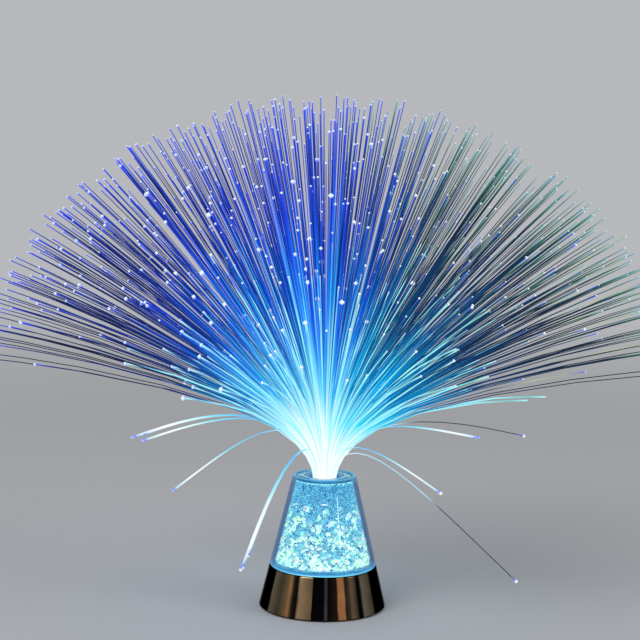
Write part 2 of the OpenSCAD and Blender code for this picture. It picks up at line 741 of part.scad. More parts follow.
module at_place(sector, place, z) {
  azimuth = place_azimuth(sector, place, ring_count(strand_rings));
  rotate(azimuth) translate([ring_r(strand_rings), 0, z]) children();
}

module backing_slice(sector) {
  difference() {
    rotate(sector * sector_turn) translate([0, 0, core_top])
      rotate_extrude(angle = sector_turn, $fn = round_fn) square([bundle_r, face_z - core_top]);
    for (s = strays) if (s[0] == sector) at_place(s[0], s[1], face_z - plug_depth)
      cylinder(d = plug_d + 2 * plug_gap, h = plug_depth + skin, $fn = small_fn);
  }
}

module fibres(sector) {
  backing_slice(sector);
  for (k = [1:strand_rings]) {
    count = ring_count(k);
    for (i = [0:count - 1]) if (k < strand_rings || !is_stray(sector, i)) {
      number = strand_number(sector, k, i);
      azimuth = place_azimuth(sector, i, count);
      aside = k < strand_rings ? wander * (scatter(number, wander_step) - 0.5) : 0;
      full = full_lean(k, azimuth) + aside;
      length = strand_length(number);
      stations = concat([for (s = bend_stations) if (s < length - 10) s], [length]);
      strand(outline(full, ring_r(k), stations), [for (s = stations) lean(full, s)], azimuth);
    }
  }
}

function stray_lean(turn, bend, s) = turn * (fan_start + (1 - fan_start) * (1 - exp(-s / bend)));
module stray_fibre(i) {
  sector = strays[i][0];
  place = strays[i][1];
  turn = strays[i][2];
  bend = strays[i][3];
  stations = concat([for (s = stray_stations) if (s < strays[i][4] - 20) s], [strays[i][4]]);
  n = 8;
  legs = [for (j = [0:len(stations) - 2])
    let (d = (stations[j + 1] - stations[j]) / n)
    d * travel([for (m = [0:n - 1]) stray_lean(turn, bend, stations[j] + (m + 0.5) * d)])];
  flat = [for (j = [0:len(legs)])
    [ring_r(strand_rings), face_z] + (j > 0 ? sum([for (m = [0:j - 1]) legs[m]]) : [0, 0])];
  at_place(sector, place, face_z - plug_depth) cylinder(d = plug_d, h = plug_depth, $fn = small_fn);
  strand(flat, [for (s = stations) stray_lean(turn, bend, s)],
         place_azimuth(sector, place, ring_count(strand_rings)), plug_sink);
}

module fibre_group(i) {
  color("deepskyblue") fibres(i - 1);
}

module stray_group(i) {
  color("aqua") stray_fibre(i - 1);
}

module battery(i) {
  color("steelblue") cell(i - 1);
}

base_skirt();
bottom_plate();
plate_screws();
rubber_feet();
battery_door();
door_screw();
battery(1);  // battery_1
battery(2);  // battery_2
battery(3);  // battery_3
battery_springs();
contact_plates();
switch_body();
switch_pins();
switch_knob();
positive_lead();
negative_lead();
switch_lead();
light_board();
board_screws();
centre_led();
ring_leds();
resistors();
control_chip();
cone_floor();
clear_cone();
top_collar();
centre_tube();
crystal_chips();
bundle_ferrule();
bonded_core();
fibre_group(1);  // fibres_1
fibre_group(2);  // fibres_2
fibre_group(3);  // fibres_3
fibre_group(4);  // fibres_4
fibre_group(5);  // fibres_5
fibre_group(6);  // fibres_6
fibre_group(7);  // fibres_7
fibre_group(8);  // fibres_8
stray_group(1);  // stray_fibre_1
stray_group(2);  // stray_fibre_2
stray_group(3);  // stray_fibre_3
stray_group(4);  // stray_fibre_4
stray_group(5);  // stray_fibre_5
stray_group(6);  // stray_fibre_6
stray_group(7);  // stray_fibre_7
stray_group(8);  // stray_fibre_8
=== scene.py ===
"""Looks of a battery fibre optic lamp: chrome skirt, clear cone of lit chips, and a glowing spray."""
import math
import random

import bmesh
import bpy
import numpy as np
from mathutils import Matrix, Vector, noise


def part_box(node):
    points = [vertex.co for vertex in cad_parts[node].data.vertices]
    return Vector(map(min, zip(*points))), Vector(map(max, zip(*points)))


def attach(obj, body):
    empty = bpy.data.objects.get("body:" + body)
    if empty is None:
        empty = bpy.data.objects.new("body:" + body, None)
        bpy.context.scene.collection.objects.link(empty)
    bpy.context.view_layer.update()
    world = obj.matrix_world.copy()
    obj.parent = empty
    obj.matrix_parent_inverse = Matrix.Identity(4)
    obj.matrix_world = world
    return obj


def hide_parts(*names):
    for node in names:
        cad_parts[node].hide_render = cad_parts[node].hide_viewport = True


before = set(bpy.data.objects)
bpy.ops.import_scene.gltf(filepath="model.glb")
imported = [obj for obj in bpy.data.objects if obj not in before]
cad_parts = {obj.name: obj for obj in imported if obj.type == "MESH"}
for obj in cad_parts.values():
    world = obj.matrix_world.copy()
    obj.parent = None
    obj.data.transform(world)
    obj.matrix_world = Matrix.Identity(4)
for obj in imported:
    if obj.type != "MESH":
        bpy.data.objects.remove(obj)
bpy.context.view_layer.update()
MM = 0.001

# ---- Camera ------------------------------------------------------------------
# It stands a little over a metre in front, slightly above the spray's middle, and looks down by six
# degrees with a slight roll. The focal length is 1700 pixels of a 640 pixel picture.
focal_px = 1700
picture_px = 640
camera_place = Vector((-5, -1120, 313)) * MM
camera_down = math.radians(6.1)
camera_roll = math.radians(1.1)
camera = bpy.data.objects.new("camera", bpy.data.cameras.new("camera"))
camera.location = camera_place
camera_turn = Matrix.Rotation(math.pi / 2 - camera_down, 3, "X") @ Matrix.Rotation(camera_roll, 3, "Z")
camera.rotation_euler = camera_turn.to_euler()
camera.data.angle = 2 * math.atan(picture_px / 2 / focal_px)
bpy.context.scene.collection.objects.link(camera)
bpy.context.scene.camera = camera
bpy.context.scene.view_settings.view_transform = "Standard"

# ---- Floor and studio light --------------------------------------------------
# A matt pale table under a soft sky and two wide soft boxes, the key at the left and a fill at the right.
# Away from the lamp the table fades into the room's plain grey, so that no horizon shows.
backdrop_grey = (0.47, 0.48, 0.50, 1)
floor_r = 4.0
floor_sides = 96
fade_from = 0.55
fade_to = 2.2


def new_material(name):
    """A material, its node tree and its shader."""
    material = bpy.data.materials.new(name)
    material.use_nodes = True
    tree = material.node_tree
    return material, tree, tree.nodes["Principled BSDF"]


def set_inputs(node, values):
    """Sets inputs of a node by name."""
    for name, value in values.items():
        node.inputs[name].default_value = value


def math_node(tree, operation, *values):
    """A sum of numbers or outputs."""
    node = tree.nodes.new("ShaderNodeMath")
    node.operation = operation
    for socket, value in zip(node.inputs, values):
        if isinstance(value, (int, float)):
            socket.default_value = value
        else:
            tree.links.new(value, socket)
    return node.outputs[0]


def seen_directly(tree):
    """1 for a ray from the camera, or one that glass or metal sends on."""
    path = tree.nodes.new("ShaderNodeLightPath")
    found = path.outputs["Is Camera Ray"]
    for name in ("Is Glossy Ray", "Is Transmission Ray"):
        found = math_node(tree, "MAXIMUM", found, path.outputs[name])
    return found


def made_mesh(bm, name):
    """The mesh of a finished bmesh, which is freed."""
    mesh = bpy.data.meshes.new(name)
    bm.to_mesh(mesh)
    bm.free()
    return mesh


def link_piece(name, mesh):
    """A new object at the origin that shows the mesh."""
    piece = bpy.data.objects.new(name, mesh)
    bpy.context.scene.collection.objects.link(piece)
    return piece


table_matt, tree, shader = new_material("table_matt")
set_inputs(shader, {"Base Color": backdrop_grey, "Roughness": 0.9})
room = tree.nodes.new("ShaderNodeEmission")
set_inputs(room, {"Color": backdrop_grey})
blend = tree.nodes.new("ShaderNodeMixShader")
coords = tree.nodes.new("ShaderNodeTexCoord")
away = tree.nodes.new("ShaderNodeVectorMath")
away.operation = "LENGTH"
fade = tree.nodes.new("ShaderNodeMapRange")
fade.interpolation_type = "SMOOTHSTEP"
set_inputs(fade, {"From Min": fade_from, "From Max": fade_to})
tree.links.new(coords.outputs["Object"], away.inputs[0])
tree.links.new(away.outputs["Value"], fade.inputs["Value"])
plain = math_node(tree, "MULTIPLY", fade.outputs["Result"], seen_directly(tree))
tree.links.new(plain, blend.inputs["Fac"])
tree.links.new(shader.outputs["BSDF"], blend.inputs[1])
tree.links.new(room.outputs["Emission"], blend.inputs[2])
tree.links.new(blend.outputs[0], tree.nodes["Material Output"].inputs["Surface"])

bm = bmesh.new()
bmesh.ops.create_circle(bm, cap_ends=True, segments=floor_sides, radius=floor_r)
floor_mesh = made_mesh(bm, "floor")
floor_mesh.materials.append(table_matt)
floor = link_piece("floor", floor_mesh)

sky_light = 0.5
world = bpy.data.worlds.new("studio")
bpy.context.scene.world = world
world.use_nodes = True
tree = world.node_tree
lit = tree.nodes["Background"]
set_inputs(lit, {"Color": (1, 1, 1, 1), "Strength": sky_light})
shown = tree.nodes.new("ShaderNodeBackground")
set_inputs(shown, {"Color": backdrop_grey})
pick = tree.nodes.new("ShaderNodeMixShader")
tree.links.new(seen_directly(tree), pick.inputs["Fac"])
tree.links.new(lit.outputs[0], pick.inputs[1])
tree.links.new(shown.outputs[0], pick.inputs[2])
tree.links.new(pick.outputs[0], tree.nodes["World Output"].inputs["Surface"])


def soft_box(name, place, aim, size, watts):
    """A round soft box that points at aim."""
    light = bpy.data.objects.new(name, bpy.data.lights.new(name, "AREA"))
    light.data.shape = "DISK"
    light.data.size = size
    light.data.energy = watts
    light.location = place
    light.rotation_euler = (Vector(aim) - Vector(place)).to_track_quat("-Z", "Y").to_euler()
    bpy.context.scene.collection.objects.link(light)


middle = (0, 0, 0.15)
soft_box("key", place=(-0.9, -1.0, 1.5), aim=middle, size=0.9, watts=14)
soft_box("fill", place=(1.3, -0.5, 0.9), aim=middle, size=0.8, watts=5)

# ---- Chrome skirt ------------------------------------------------------------
# A moulded plastic skirt, plated mirror bright. Reflections of a dim room of warm browns and blacks are
# painted into the plating's colour, in upright bands round the axis, with soft wear in its gloss.
black_band = (0.004, 0.004, 0.005)
brown_black = (0.035, 0.022, 0.012)
olive_band = (0.26, 0.215, 0.14)
olive_dark = (0.10, 0.078, 0.048)
tan_band = (0.58, 0.39, 0.21)
tan_dark = (0.27, 0.17, 0.085)
orange_reflection = (0.66, 0.29, 0.11)
grey_line = (0.26, 0.26, 0.28)
# Degrees round the axis from the front, to the right, where a painted reflection band starts, and its tones
# at both ends
painted_reflection_bands = (
    (-180, olive_dark, olive_band), (-171, black_band, black_band), (-150, tan_dark, tan_band),
    (-141, olive_band, olive_dark), (-128, black_band, brown_black), (-116, orange_reflection, tan_dark),
    (-108, olive_dark, olive_dark), (-96, black_band, black_band), (-84, olive_dark, black_band),
    (-58, olive_band, olive_dark), (-45, olive_dark, tan_dark), (-35, orange_reflection, tan_dark),
    (-31, brown_black, black_band), (-24, tan_band, tan_dark), (-10, black_band, black_band),
    (3, grey_line, black_band), (5, black_band, brown_black), (15, orange_reflection, orange_reflection),
    (22, brown_black, olive_dark), (28, tan_dark, olive_dark), (35, black_band, black_band),
    (41, olive_band, olive_dark), (56, black_band, black_band), (80, olive_dark, tan_band),
    (95, black_band, black_band), (113, olive_dark, olive_band), (126, orange_reflection, brown_black),
    (136, black_band, black_band), (158, olive_band, olive_dark),
)


def pattern(tree, kind, scale):
    """A pattern in the piece's own coordinates."""
    coords = tree.nodes.new("ShaderNodeTexCoord")
    made = tree.nodes.new(kind)
    set_inputs(made, {"Scale": scale})
    tree.links.new(coords.outputs["Object"], made.inputs["Vector"])
    return made


def texture(tree, scale, detail=3):
    """Noise from 0 to 1."""
    made = pattern(tree, "ShaderNodeTexNoise", scale)
    set_inputs(made, {"Detail": detail})
    return made.outputs["Fac"]


def between(tree, value, low, high, start=0.3, end=0.7):
    """Carries a value between start and end over to low and high."""
    scale = tree.nodes.new("ShaderNodeMapRange")
    set_inputs(scale, {"From Min": start, "From Max": end, "To Min": low, "To Max": high})
    tree.links.new(value, scale.inputs["Value"])
    return scale.outputs["Result"]


def ramp(tree, value, stops, mode="LINEAR"):
    """A colour for each value from 0 to 1."""
    colours = tree.nodes.new("ShaderNodeValToRGB")
    colours.color_ramp.interpolation = mode
    marks = colours.color_ramp.elements
    while len(marks) < len(stops):
        marks.new(0.5)
    for mark, (place, colour) in zip(marks, stops):
        mark.position = place
        mark.color = (*colour, 1)
    tree.links.new(value, colours.inputs["Fac"])
    return colours.outputs["Color"]


def toned(tree, shader, tones, scale, detail=3):
    """Colours a surface by noise."""
    tree.links.new(ramp(tree, texture(tree, scale, detail), tones), shader.inputs["Base Color"])


def worn(tree, shader, low, high, scale, detail=3):
    """Lets a surface be more and less rough by noise."""
    rough = between(tree, texture(tree, scale, detail), low, high)
    tree.links.new(rough, shader.inputs["Roughness"])


def roughened(tree, shader, height, depth):
    """Fine relief in the shader's normal."""
    bump = tree.nodes.new("ShaderNodeBump")
    set_inputs(bump, {"Strength": 0.5, "Distance": depth})
    tree.links.new(height, bump.inputs["Height"])
    tree.links.new(bump.outputs["Normal"], shader.inputs["Normal"])


def object_axes(tree):
    """The piece's own X, Y and Z."""
    coords = tree.nodes.new("ShaderNodeTexCoord")
    apart = tree.nodes.new("ShaderNodeSeparateXYZ")
    tree.links.new(coords.outputs["Object"], apart.inputs[0])
    return apart.outputs


def laid_over(tree, under, over, share=1, mode="MULTIPLY"):
    """One colour laid over another. Each is a colour or an output."""
    mix = tree.nodes.new("ShaderNodeMix")
    mix.data_type = "RGBA"
    mix.blend_type = mode
    for name, value in (("Factor", share), ("A", under), ("B", over)):
        if isinstance(value, bpy.types.NodeSocket):
            tree.links.new(value, mix.inputs[name])
        else:
            mix.inputs[name].default_value = value
    return mix.outputs["Result"]


def finish_node(material, *names):
    """Gives CAD nodes their finish."""
    for name in names:
        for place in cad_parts[name].material_slots:
            place.material = material


def share_round(degrees):
    """A place round the axis, from 0 to 1."""
    return (degrees + 180) / 360


band_edge = 0.0012
band_waver = 0.0012
mottle_tones = ((0.3, (0.7, 0.7, 0.72)), (0.7, (1, 1, 1)))
# Chrome whose base colour carries the painted reflection bands, mottled a little
chrome, tree, shader = new_material("chrome_painted_reflections")
x, y, _ = object_axes(tree)
turn = math_node(tree, "ARCTAN2", x, math_node(tree, "MULTIPLY", y, -1))
turn = between(tree, turn, 0, 1, -math.pi, math.pi)
waver = between(tree, texture(tree, 90, 2), -band_waver, band_waver)
turn = math_node(tree, "ADD", turn, waver)
# A ramp holds at most 32 stops, so the bands take two
split = len(painted_reflection_bands) // 2
last_band = (180, olive_dark, olive_dark)
halves = []
for bands, close in ((painted_reflection_bands[:split], painted_reflection_bands[split]), (painted_reflection_bands[split:], last_band)):
    stops = []
    for (start, first, last), (end, _, _) in zip(bands, bands[1:] + (close,)):
        stops += [(share_round(start) + band_edge, first), (share_round(end) - band_edge, last)]
    halves.append(ramp(tree, turn, stops))
past_split = math_node(tree, "GREATER_THAN", turn, share_round(painted_reflection_bands[split][0]))
painted_reflection_tone = laid_over(tree, *halves, past_split, "MIX")
mottle = ramp(tree, texture(tree, 110, 4), mottle_tones)
tree.links.new(laid_over(tree, painted_reflection_tone, mottle), shader.inputs["Base Color"])
worn(tree, shader, 0.05, 0.16, 160, 4)
set_inputs(shader, {"Metallic": 1, "Specular Tint": (0.25, 0.25, 0.25, 1)})
finish_node(chrome, "base_skirt")

# ---- Bottom plate, battery door, switch and chip -----------------------------
# Black polystyrene mouldings with a fine spark-eroded grain, a little shinier where hands rub them. The
# plate is screwed to posts in the skirt, the door hooks into it, and the switch's knob slides in a slot.
plastic_tones = ((0.3, (0.016, 0.016, 0.019)), (0.7, (0.045, 0.045, 0.05)))
black_plastic, tree, shader = new_material("grained_black_plastic")
toned(tree, shader, plastic_tones, 45, 5)
worn(tree, shader, 0.38, 0.66, 45, 5)
roughened(tree, shader, texture(tree, 1800), 0.05 * MM)
finish_node(black_plastic, "bottom_plate", "battery_door", "switch_body", "switch_knob", "control_chip")

# ---- Rubber feet -------------------------------------------------------------
# Four moulded rubber buttons, matt and a little dusty, glued into shallow dishes in the bottom plate so
# that the lamp doesn't slide.
rubber_tones = ((0.35, (0.012, 0.012, 0.012)), (0.75, (0.06, 0.058, 0.055)))
rubber, tree, shader = new_material("foot_rubber_matt")
toned(tree, shader, rubber_tones, 500, 4)
set_inputs(shader, {"Roughness": 0.85})
roughened(tree, shader, texture(tree, 2600), 0.04 * MM)
finish_node(rubber, "rubber_feet")

# ---- Screws ------------------------------------------------------------------
# Zinc plated steel screws, with the faint rainbow blur of passivation. They hold the bottom plate, the
# battery door and the light board.
zinc_tones = ((0.3, (0.5, 0.5, 0.53)), (0.55, (0.62, 0.62, 0.6)), (0.75, (0.66, 0.6, 0.5)))
zinc, tree, shader = new_material("zinc_plate")
toned(tree, shader, zinc_tones, 900)
worn(tree, shader, 0.22, 0.42, 2400)
set_inputs(shader, {"Metallic": 1})
finish_node(zinc, "plate_screws", "door_screw", "board_screws")

# ---- Cells -------------------------------------------------------------------
# Three small alkaline cells in a plain film sleeve, with bare steel at both ends. They lie side by side
# in the battery box, the middle one the other way round.
sleeve_blue = (0.02, 0.06, 0.20)
band_gold = (0.55, 0.40, 0.16)
end_steel = (0.62, 0.61, 0.59)
# Shares of the way from a cell's middle to its end
sleeve_end = 0.95
cell_tones = ((0, sleeve_blue), (0.62, band_gold), (0.64, sleeve_blue), (sleeve_end, end_steel))
for number in (1, 2, 3):
    low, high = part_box(f"battery_{number}")
    sleeve, tree, shader = new_material(f"cell_film_{number}")
    _, y, _ = object_axes(tree)
    off_middle = math_node(tree, "SUBTRACT", y, (low.y + high.y) / 2)
    off_middle = math_node(tree, "ABSOLUTE", off_middle)
    share = math_node(tree, "DIVIDE", off_middle, (high.y - low.y) / 2)
    tree.links.new(ramp(tree, share, cell_tones, "CONSTANT"), shader.inputs["Base Color"])
    tree.links.new(math_node(tree, "GREATER_THAN", share, sleeve_end), shader.inputs["Metallic"])
    worn(tree, shader, 0.2, 0.4, 300, 4)
    finish_node(sleeve, f"battery_{number}")

# ---- Springs and contacts ----------------------------------------------------
# Nickel plated spring steel. The springs are wound from wire into short cones, two and a half turns
# each, and the contacts are stamped: plates at the battery box's end walls, and the switch's pins.


def clamped(value, low=0, high=1):
    """The value, held between low and high."""
    return min(high, max(low, value))


nickel_tones = ((0.3, (0.55, 0.53, 0.48)), (0.7, (0.76, 0.75, 0.72)))
nickel, tree, shader = new_material("nickel_plate")
toned(tree, shader, nickel_tones, 700, 4)
worn(tree, shader, 0.16, 0.34, 1500)
set_inputs(shader, {"Metallic": 1})
finish_node(nickel, "contact_plates", "switch_pins")

spring_low, spring_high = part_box("battery_springs")
spring_wire = 0.6 * MM
spring_turns = 2.5
spring_foot_r = 3.3 * MM
spring_head_r = 2.4 * MM
spring_height = 4.0 * MM
spring_rise = spring_height - spring_wire
coil_points = 24
wire_sides = 10
coil_steps = int(spring_turns * coil_points)
# The wire's round end is spun up the coil, whose turns are then drawn in towards its head
coil = bmesh.new()
wire_end = Matrix.Translation((spring_foot_r, 0, 0)) @ Matrix.Rotation(math.pi / 2, 4, "X")
bmesh.ops.create_circle(coil, cap_ends=True, segments=wire_sides, radius=spring_wire / 2,
                        matrix=wire_end)
bmesh.ops.spin(coil, geom=coil.verts[:] + coil.edges[:] + coil.faces[:], cent=(0, 0, 0), axis=(0, 0, 1),
               dvec=(0, 0, spring_rise / coil_steps), angle=2 * math.pi * spring_turns, steps=coil_steps)
for corner in coil.verts:
    drawn_in = (spring_foot_r - spring_head_r) * clamped(corner.co.z / spring_rise)
    corner.co -= Vector((corner.co.x, corner.co.y, 0)).normalized() * drawn_in
bmesh.ops.recalc_face_normals(coil, faces=coil.faces)
for face in coil.faces:
    face.smooth = len(face.verts) == 4
coil_mesh = made_mesh(coil, "coil")

# The middle cell lies the other way round, so its spring is at the other end
wires = bmesh.new()
for number, back in ((1, 1), (2, -1), (3, 1)):
    low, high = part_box(f"battery_{number}")
    foot = (low + high) / 2
    foot.y = (spring_low.y if back > 0 else spring_high.y) + back * spring_wire / 2
    wound = coil_mesh.copy()
    wound.transform(Matrix.Translation(foot) @ Matrix.Rotation(-back * math.pi / 2, 4, "X"))
    wires.from_mesh(wound)
    bpy.data.meshes.remove(wound)
bpy.data.meshes.remove(coil_mesh)
spring_mesh = made_mesh(wires, "wound_springs")
spring_mesh.materials.append(nickel)
springs = link_piece("wound_springs", spring_mesh)
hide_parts("battery_springs")
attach(springs, "base")

# ---- Leads -------------------------------------------------------------------
# Stranded copper in smooth red or black insulation, soldered between the contacts, the switch and the
# board, and held inside the foot all the way.
red_tones = ((0.3, (0.30, 0.008, 0.008)), (0.7, (0.52, 0.02, 0.015)))
black_tones = ((0.3, (0.010, 0.010, 0.011)), (0.7, (0.035, 0.035, 0.038)))
for name, tones, leads in (("red_insulation", red_tones, ("positive_lead", "switch_lead")),
                           ("black_insulation", black_tones, ("negative_lead",))):
    insulation, tree, shader = new_material(name)
    toned(tree, shader, tones, 400)
    worn(tree, shader, 0.25, 0.42, 900)
    finish_node(insulation, *leads)

# ---- Light board -------------------------------------------------------------
# Glass laminate with a green solder mask, and tracks that show faintly under it. It is screwed to
# standoffs on the bottom plate, above the battery box.
mask, tree, shader = new_material("solder_mask")
tracks = pattern(tree, "ShaderNodeTexBrick", 190)
set_inputs(tracks, {"Mortar Size": 0.08, "Color1": (0.008, 0.10, 0.035, 1),
                    "Color2": (0.010, 0.13, 0.045, 1), "Mortar": (0.03, 0.26, 0.09, 1)})
tree.links.new(tracks.outputs["Color"], shader.inputs["Base Color"])
worn(tree, shader, 0.2, 0.35, 500)
finish_node(mask, "light_board")

# ---- Lights and resistors ----------------------------------------------------
# Clear epoxy lights, lit blue-white, one under the bundle and six under the chips, and small resistors
# with a baked coating. All are soldered to the board.
epoxy_glow = ((0.35, (0.25, 0.62, 1.0)), (0.65, (0.85, 0.97, 1.0)))
epoxy, tree, shader = new_material("lit_epoxy")
worn(tree, shader, 0.05, 0.14, 800)
tree.links.new(ramp(tree, texture(tree, 300, 2), epoxy_glow), shader.inputs["Emission Color"])
set_inputs(shader, {"Base Color": (0.8, 0.93, 1, 1), "Emission Strength": 1})
finish_node(epoxy, "centre_led", "ring_leds")

coating_tones = ((0.3, (0.42, 0.33, 0.2)), (0.7, (0.66, 0.56, 0.4)))
coated, tree, shader = new_material("baked_coating")
toned(tree, shader, coating_tones, 1200, 4)
set_inputs(shader, {"Roughness": 0.5})
finish_node(coated, "resistors")

# ---- Clear cone, collar, tube and floor --------------------------------------
# Clear acrylic, moulded and polished. Its lip and foot glow with the light that it pipes, which is painted
# in as glow, and its limbs are navy blue. The mould's halves left a parting line on either side, whose
# shine is a painted highlight. The cone's floor hooks under the deck, and the collar lies in its mouth
# round the tube.
cone_low, cone_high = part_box("clear_cone")
cone_wall = 2.7 * MM
cone_foot_r = cone_high.x
cone_mouth_r = 21.1 * MM
skin_depth = 0.5 * MM
seam_turn = math.radians(21)
seam_half = 0.011
seam_from = 0.30
seam_to = 0.83
painted_seam_highlight = (0.42, 0.62, 0.55, 1)
# Painted glow of the wall by its height, from the foot at 0 to the lip at 1
painted_wall_glow = (
    (0.0, (0.18, 0.50, 0.50)), (0.012, (0.14, 0.42, 0.44)), (0.02, (0.006, 0.06, 0.09)),
    (0.05, (0.006, 0.05, 0.08)), (0.085, (0, 0.004, 0.006)), (0.92, (0, 0.003, 0.004)),
    (0.955, (0.002, 0.04, 0.04)), (0.985, (0.004, 0.04, 0.04)), (0.995, (0.05, 0.24, 0.32)),
)


def wall_r(z):
    """Radius of the cone's inner wall."""
    up_share = (z - cone_low.z) / (cone_high.z - cone_low.z)
    return cone_foot_r + (cone_mouth_r - cone_foot_r) * up_share - cone_wall


def around_axis(radius, angle, z):
    """A place at a radius and an angle round the lamp's axis."""
    return Vector((radius * math.cos(angle), radius * math.sin(angle), z))


clear_acrylic, tree, shader = new_material("clear_acrylic")
x, y, z = object_axes(tree)
share = between(tree, z, 0, 1, cone_low.z, cone_high.z)
turn = math_node(tree, "ARCTAN2", x, math_node(tree, "MULTIPLY", y, -1))
off_seam = math_node(tree, "SINE", math_node(tree, "SUBTRACT", turn, seam_turn))
off_seam = math_node(tree, "ABSOLUTE", off_seam)
squares = [math_node(tree, "MULTIPLY", axis, axis) for axis in (x, y)]
radius = math_node(tree, "SQRT", math_node(tree, "ADD", *squares))
skin = between(tree, share, cone_foot_r - skin_depth, cone_mouth_r - skin_depth, 0, 1)
on_seam = math_node(tree, "LESS_THAN", off_seam, seam_half)
for operation, value, limit in (("GREATER_THAN", radius, skin), ("GREATER_THAN", share, seam_from),
                                ("LESS_THAN", share, seam_to)):
    within = math_node(tree, operation, value, limit)
    on_seam = math_node(tree, "MULTIPLY", on_seam, within)
lit_edges = ramp(tree, share, painted_wall_glow)
# The parting line is a real mark, and its shine is a painted highlight mixed into the glow
tree.links.new(laid_over(tree, lit_edges, painted_seam_highlight, on_seam, "MIX"), shader.inputs["Emission Color"])
worn(tree, shader, 0.02, 0.07, 90)
set_inputs(shader, {"Base Color": (0.95, 0.99, 1, 1), "Emission Strength": 1, "IOR": 1.49,
                    "Specular IOR Level": 0.25, "Transmission Weight": 1})
# The wall swallows the studio's reds, and the light that it pipes is painted in as a blue glow in its body
absorb = tree.nodes.new("ShaderNodeVolumeAbsorption")
set_inputs(absorb, {"Color": (0.10, 0.50, 0.70, 1), "Density": 350})
piped = tree.nodes.new("ShaderNodeEmission")
set_inputs(piped, {"Color": (0, 0.2, 1, 1), "Strength": 20})
inside = tree.nodes.new("ShaderNodeAddShader")
tree.links.new(absorb.outputs["Volume"], inside.inputs[0])
tree.links.new(piped.outputs["Emission"], inside.inputs[1])
tree.links.new(inside.outputs["Shader"], tree.nodes["Material Output"].inputs["Volume"])
clear_acrylic.cycles.emission_sampling = "NONE"
finish_node(clear_acrylic, "clear_cone", "top_collar", "centre_tube", "cone_floor")

# The collar is a flat ring with a low rib round the middle of its top
tube_low, tube_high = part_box("centre_tube")
tube_r = tube_high.x
collar_top = cone_high.z - 1.3 * MM
collar_under = collar_top - 1.5 * MM
collar_hole_r = tube_r + 0.1 * MM
collar_gap = 0.16 * MM
collar_sides = 96
rib_h = 0.5 * MM
rib_r = (collar_hole_r + wall_r(collar_top)) / 2
rib_half = 0.55 * MM
collar_edge = 0.15 * MM
edge_turn = math.radians(40)
collar_line = (
    (collar_hole_r, collar_under), (wall_r(collar_under) - collar_gap, collar_under),
    (wall_r(collar_top) - collar_gap, collar_top), (rib_r + rib_half, collar_top),
    (rib_r + rib_half, collar_top + rib_h), (rib_r - rib_half, collar_top + rib_h),
    (rib_r - rib_half, collar_top), (collar_hole_r, collar_top),
)


def spun(line, sides):
    """A ring turned from a closed line of radii and heights, with its faces outwards."""
    bm = bmesh.new()
    corners = [bm.verts.new(around_axis(r, 0, z)) for r, z in line]
    edges = [bm.edges.new(pair) for pair in zip(corners, corners[1:] + corners[:1])]
    bmesh.ops.spin(bm, geom=edges + corners, cent=(0, 0, 0), axis=(0, 0, 1), angle=2 * math.pi,
                   steps=sides, use_merge=True, use_duplicate=False)
    bmesh.ops.recalc_face_normals(bm, faces=bm.faces)
    return bm


ring = spun(collar_line, collar_sides)
rims = [edge for edge in ring.edges if edge.calc_face_angle(0) > edge_turn]
bmesh.ops.bevel(ring, geom=rims, offset=collar_edge, offset_type="OFFSET", segments=2, profile=0.5,
                affect="EDGES", material=-1)
for face in ring.faces:
    face.smooth = True
ring_mesh = made_mesh(ring, "mouth_collar")
ring_mesh.materials.append(clear_acrylic)
collar = link_piece("mouth_collar", ring_mesh)
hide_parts("top_collar")
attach(collar, "base")

# ---- Crystal chips -----------------------------------------------------------
# Crushed clear resin poured into the ring between the tube and the cone's wall. Fine grit lies at the
# top, coarse pieces and frosted lumps at the bottom, and the glow of the lights below is painted into all
# of it.
fill_low = tube_low.z + 1.0 * MM
fill_high = collar_under - 0.4 * MM
floor_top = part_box("cone_floor")[1].z + 0.05 * MM
wall_gap = 0.05 * MM
grit_count = 3400
grain_count = 7600
lump_count = 380
top_count = 500
chip_layer = 1.3 * MM
lump_reach = 0.68
lump_sizes = (1.5 * MM, 3.6 * MM)
top_sizes = (0.5 * MM, 0.8 * MM)
# Flat shards against the wall: degrees to the right of the front, height, half length and width, tilt
shards = ((-30, 70, 3.2, 2.1, 25), (-31, 62.5, 2.1, 2.5, 0), (11, 61, 4.0, 1.8, 35), (-7, 59, 2.4, 2.6, 60),
          (0, 73.4, 2.8, 0.8, 0), (24, 55, 3.0, 2.2, -20), (-48, 56, 2.6, 2.0, 40), (125, 63, 3.0, 2.0, 20),
          (165, 66, 3.0, 2.2, -30), (-120, 60, 3.6, 1.9, 15))
shard_half_thick = 0.6 * MM
deep_blue = (0.02, 0.11, 0.22)
grit_blue = (0.13, 0.42, 0.46)
pale_cyan = (0.84, 0.88, 0.50)
frosted_and_glowing_white = (1.0, 0.88, 0.55)
shard_white = (0.95, 0.86, 0.66)
rose = (1.0, 0.25, 0.75)
dark_chance = 0.07
frost_chance = 0.02
lit_frost_chance = 0.6
# Painted light at a chip: at the foot, its fall over the height, by clusters and patches, and painted shade
# in crevices
foot_light = 1.75
light_fall = 2.3
patch_light = 0.9
cluster_light = 1.1
crevice_loss = 0.45
cluster_size = 4.2 * MM
patch_size = 8 * MM
crevice_width = 0.3


def sort_faces(bm):
    """Sorts faces by height and round the axis, because spinning orders them anew each run."""
    middles = {face: face.calc_center_median() for face in bm.faces}
    bm.faces.sort(key=lambda face: round(middles[face].z, 6)
                  + 1e-8 * math.atan2(middles[face].y, middles[face].x))


def crushed(sides, rough, seed):
    """A broken chip of unit size: a coarse ball whose corners are pulled in and out."""
    dice = random.Random(seed)
    bm = bmesh.new()
    bmesh.ops.create_uvsphere(bm, u_segments=sides, v_segments=sides - 2, radius=1)
    for corner in bm.verts:
        corner.co *= dice.uniform(1 - rough, 1)
    sort_faces(bm)
    return made_mesh(bm, "crushed")


def mixed(a, b, share):
    """The colour that lies the given share of the way from a to b."""
    return tuple(x + (y - x) * share for x, y in zip(a, b))


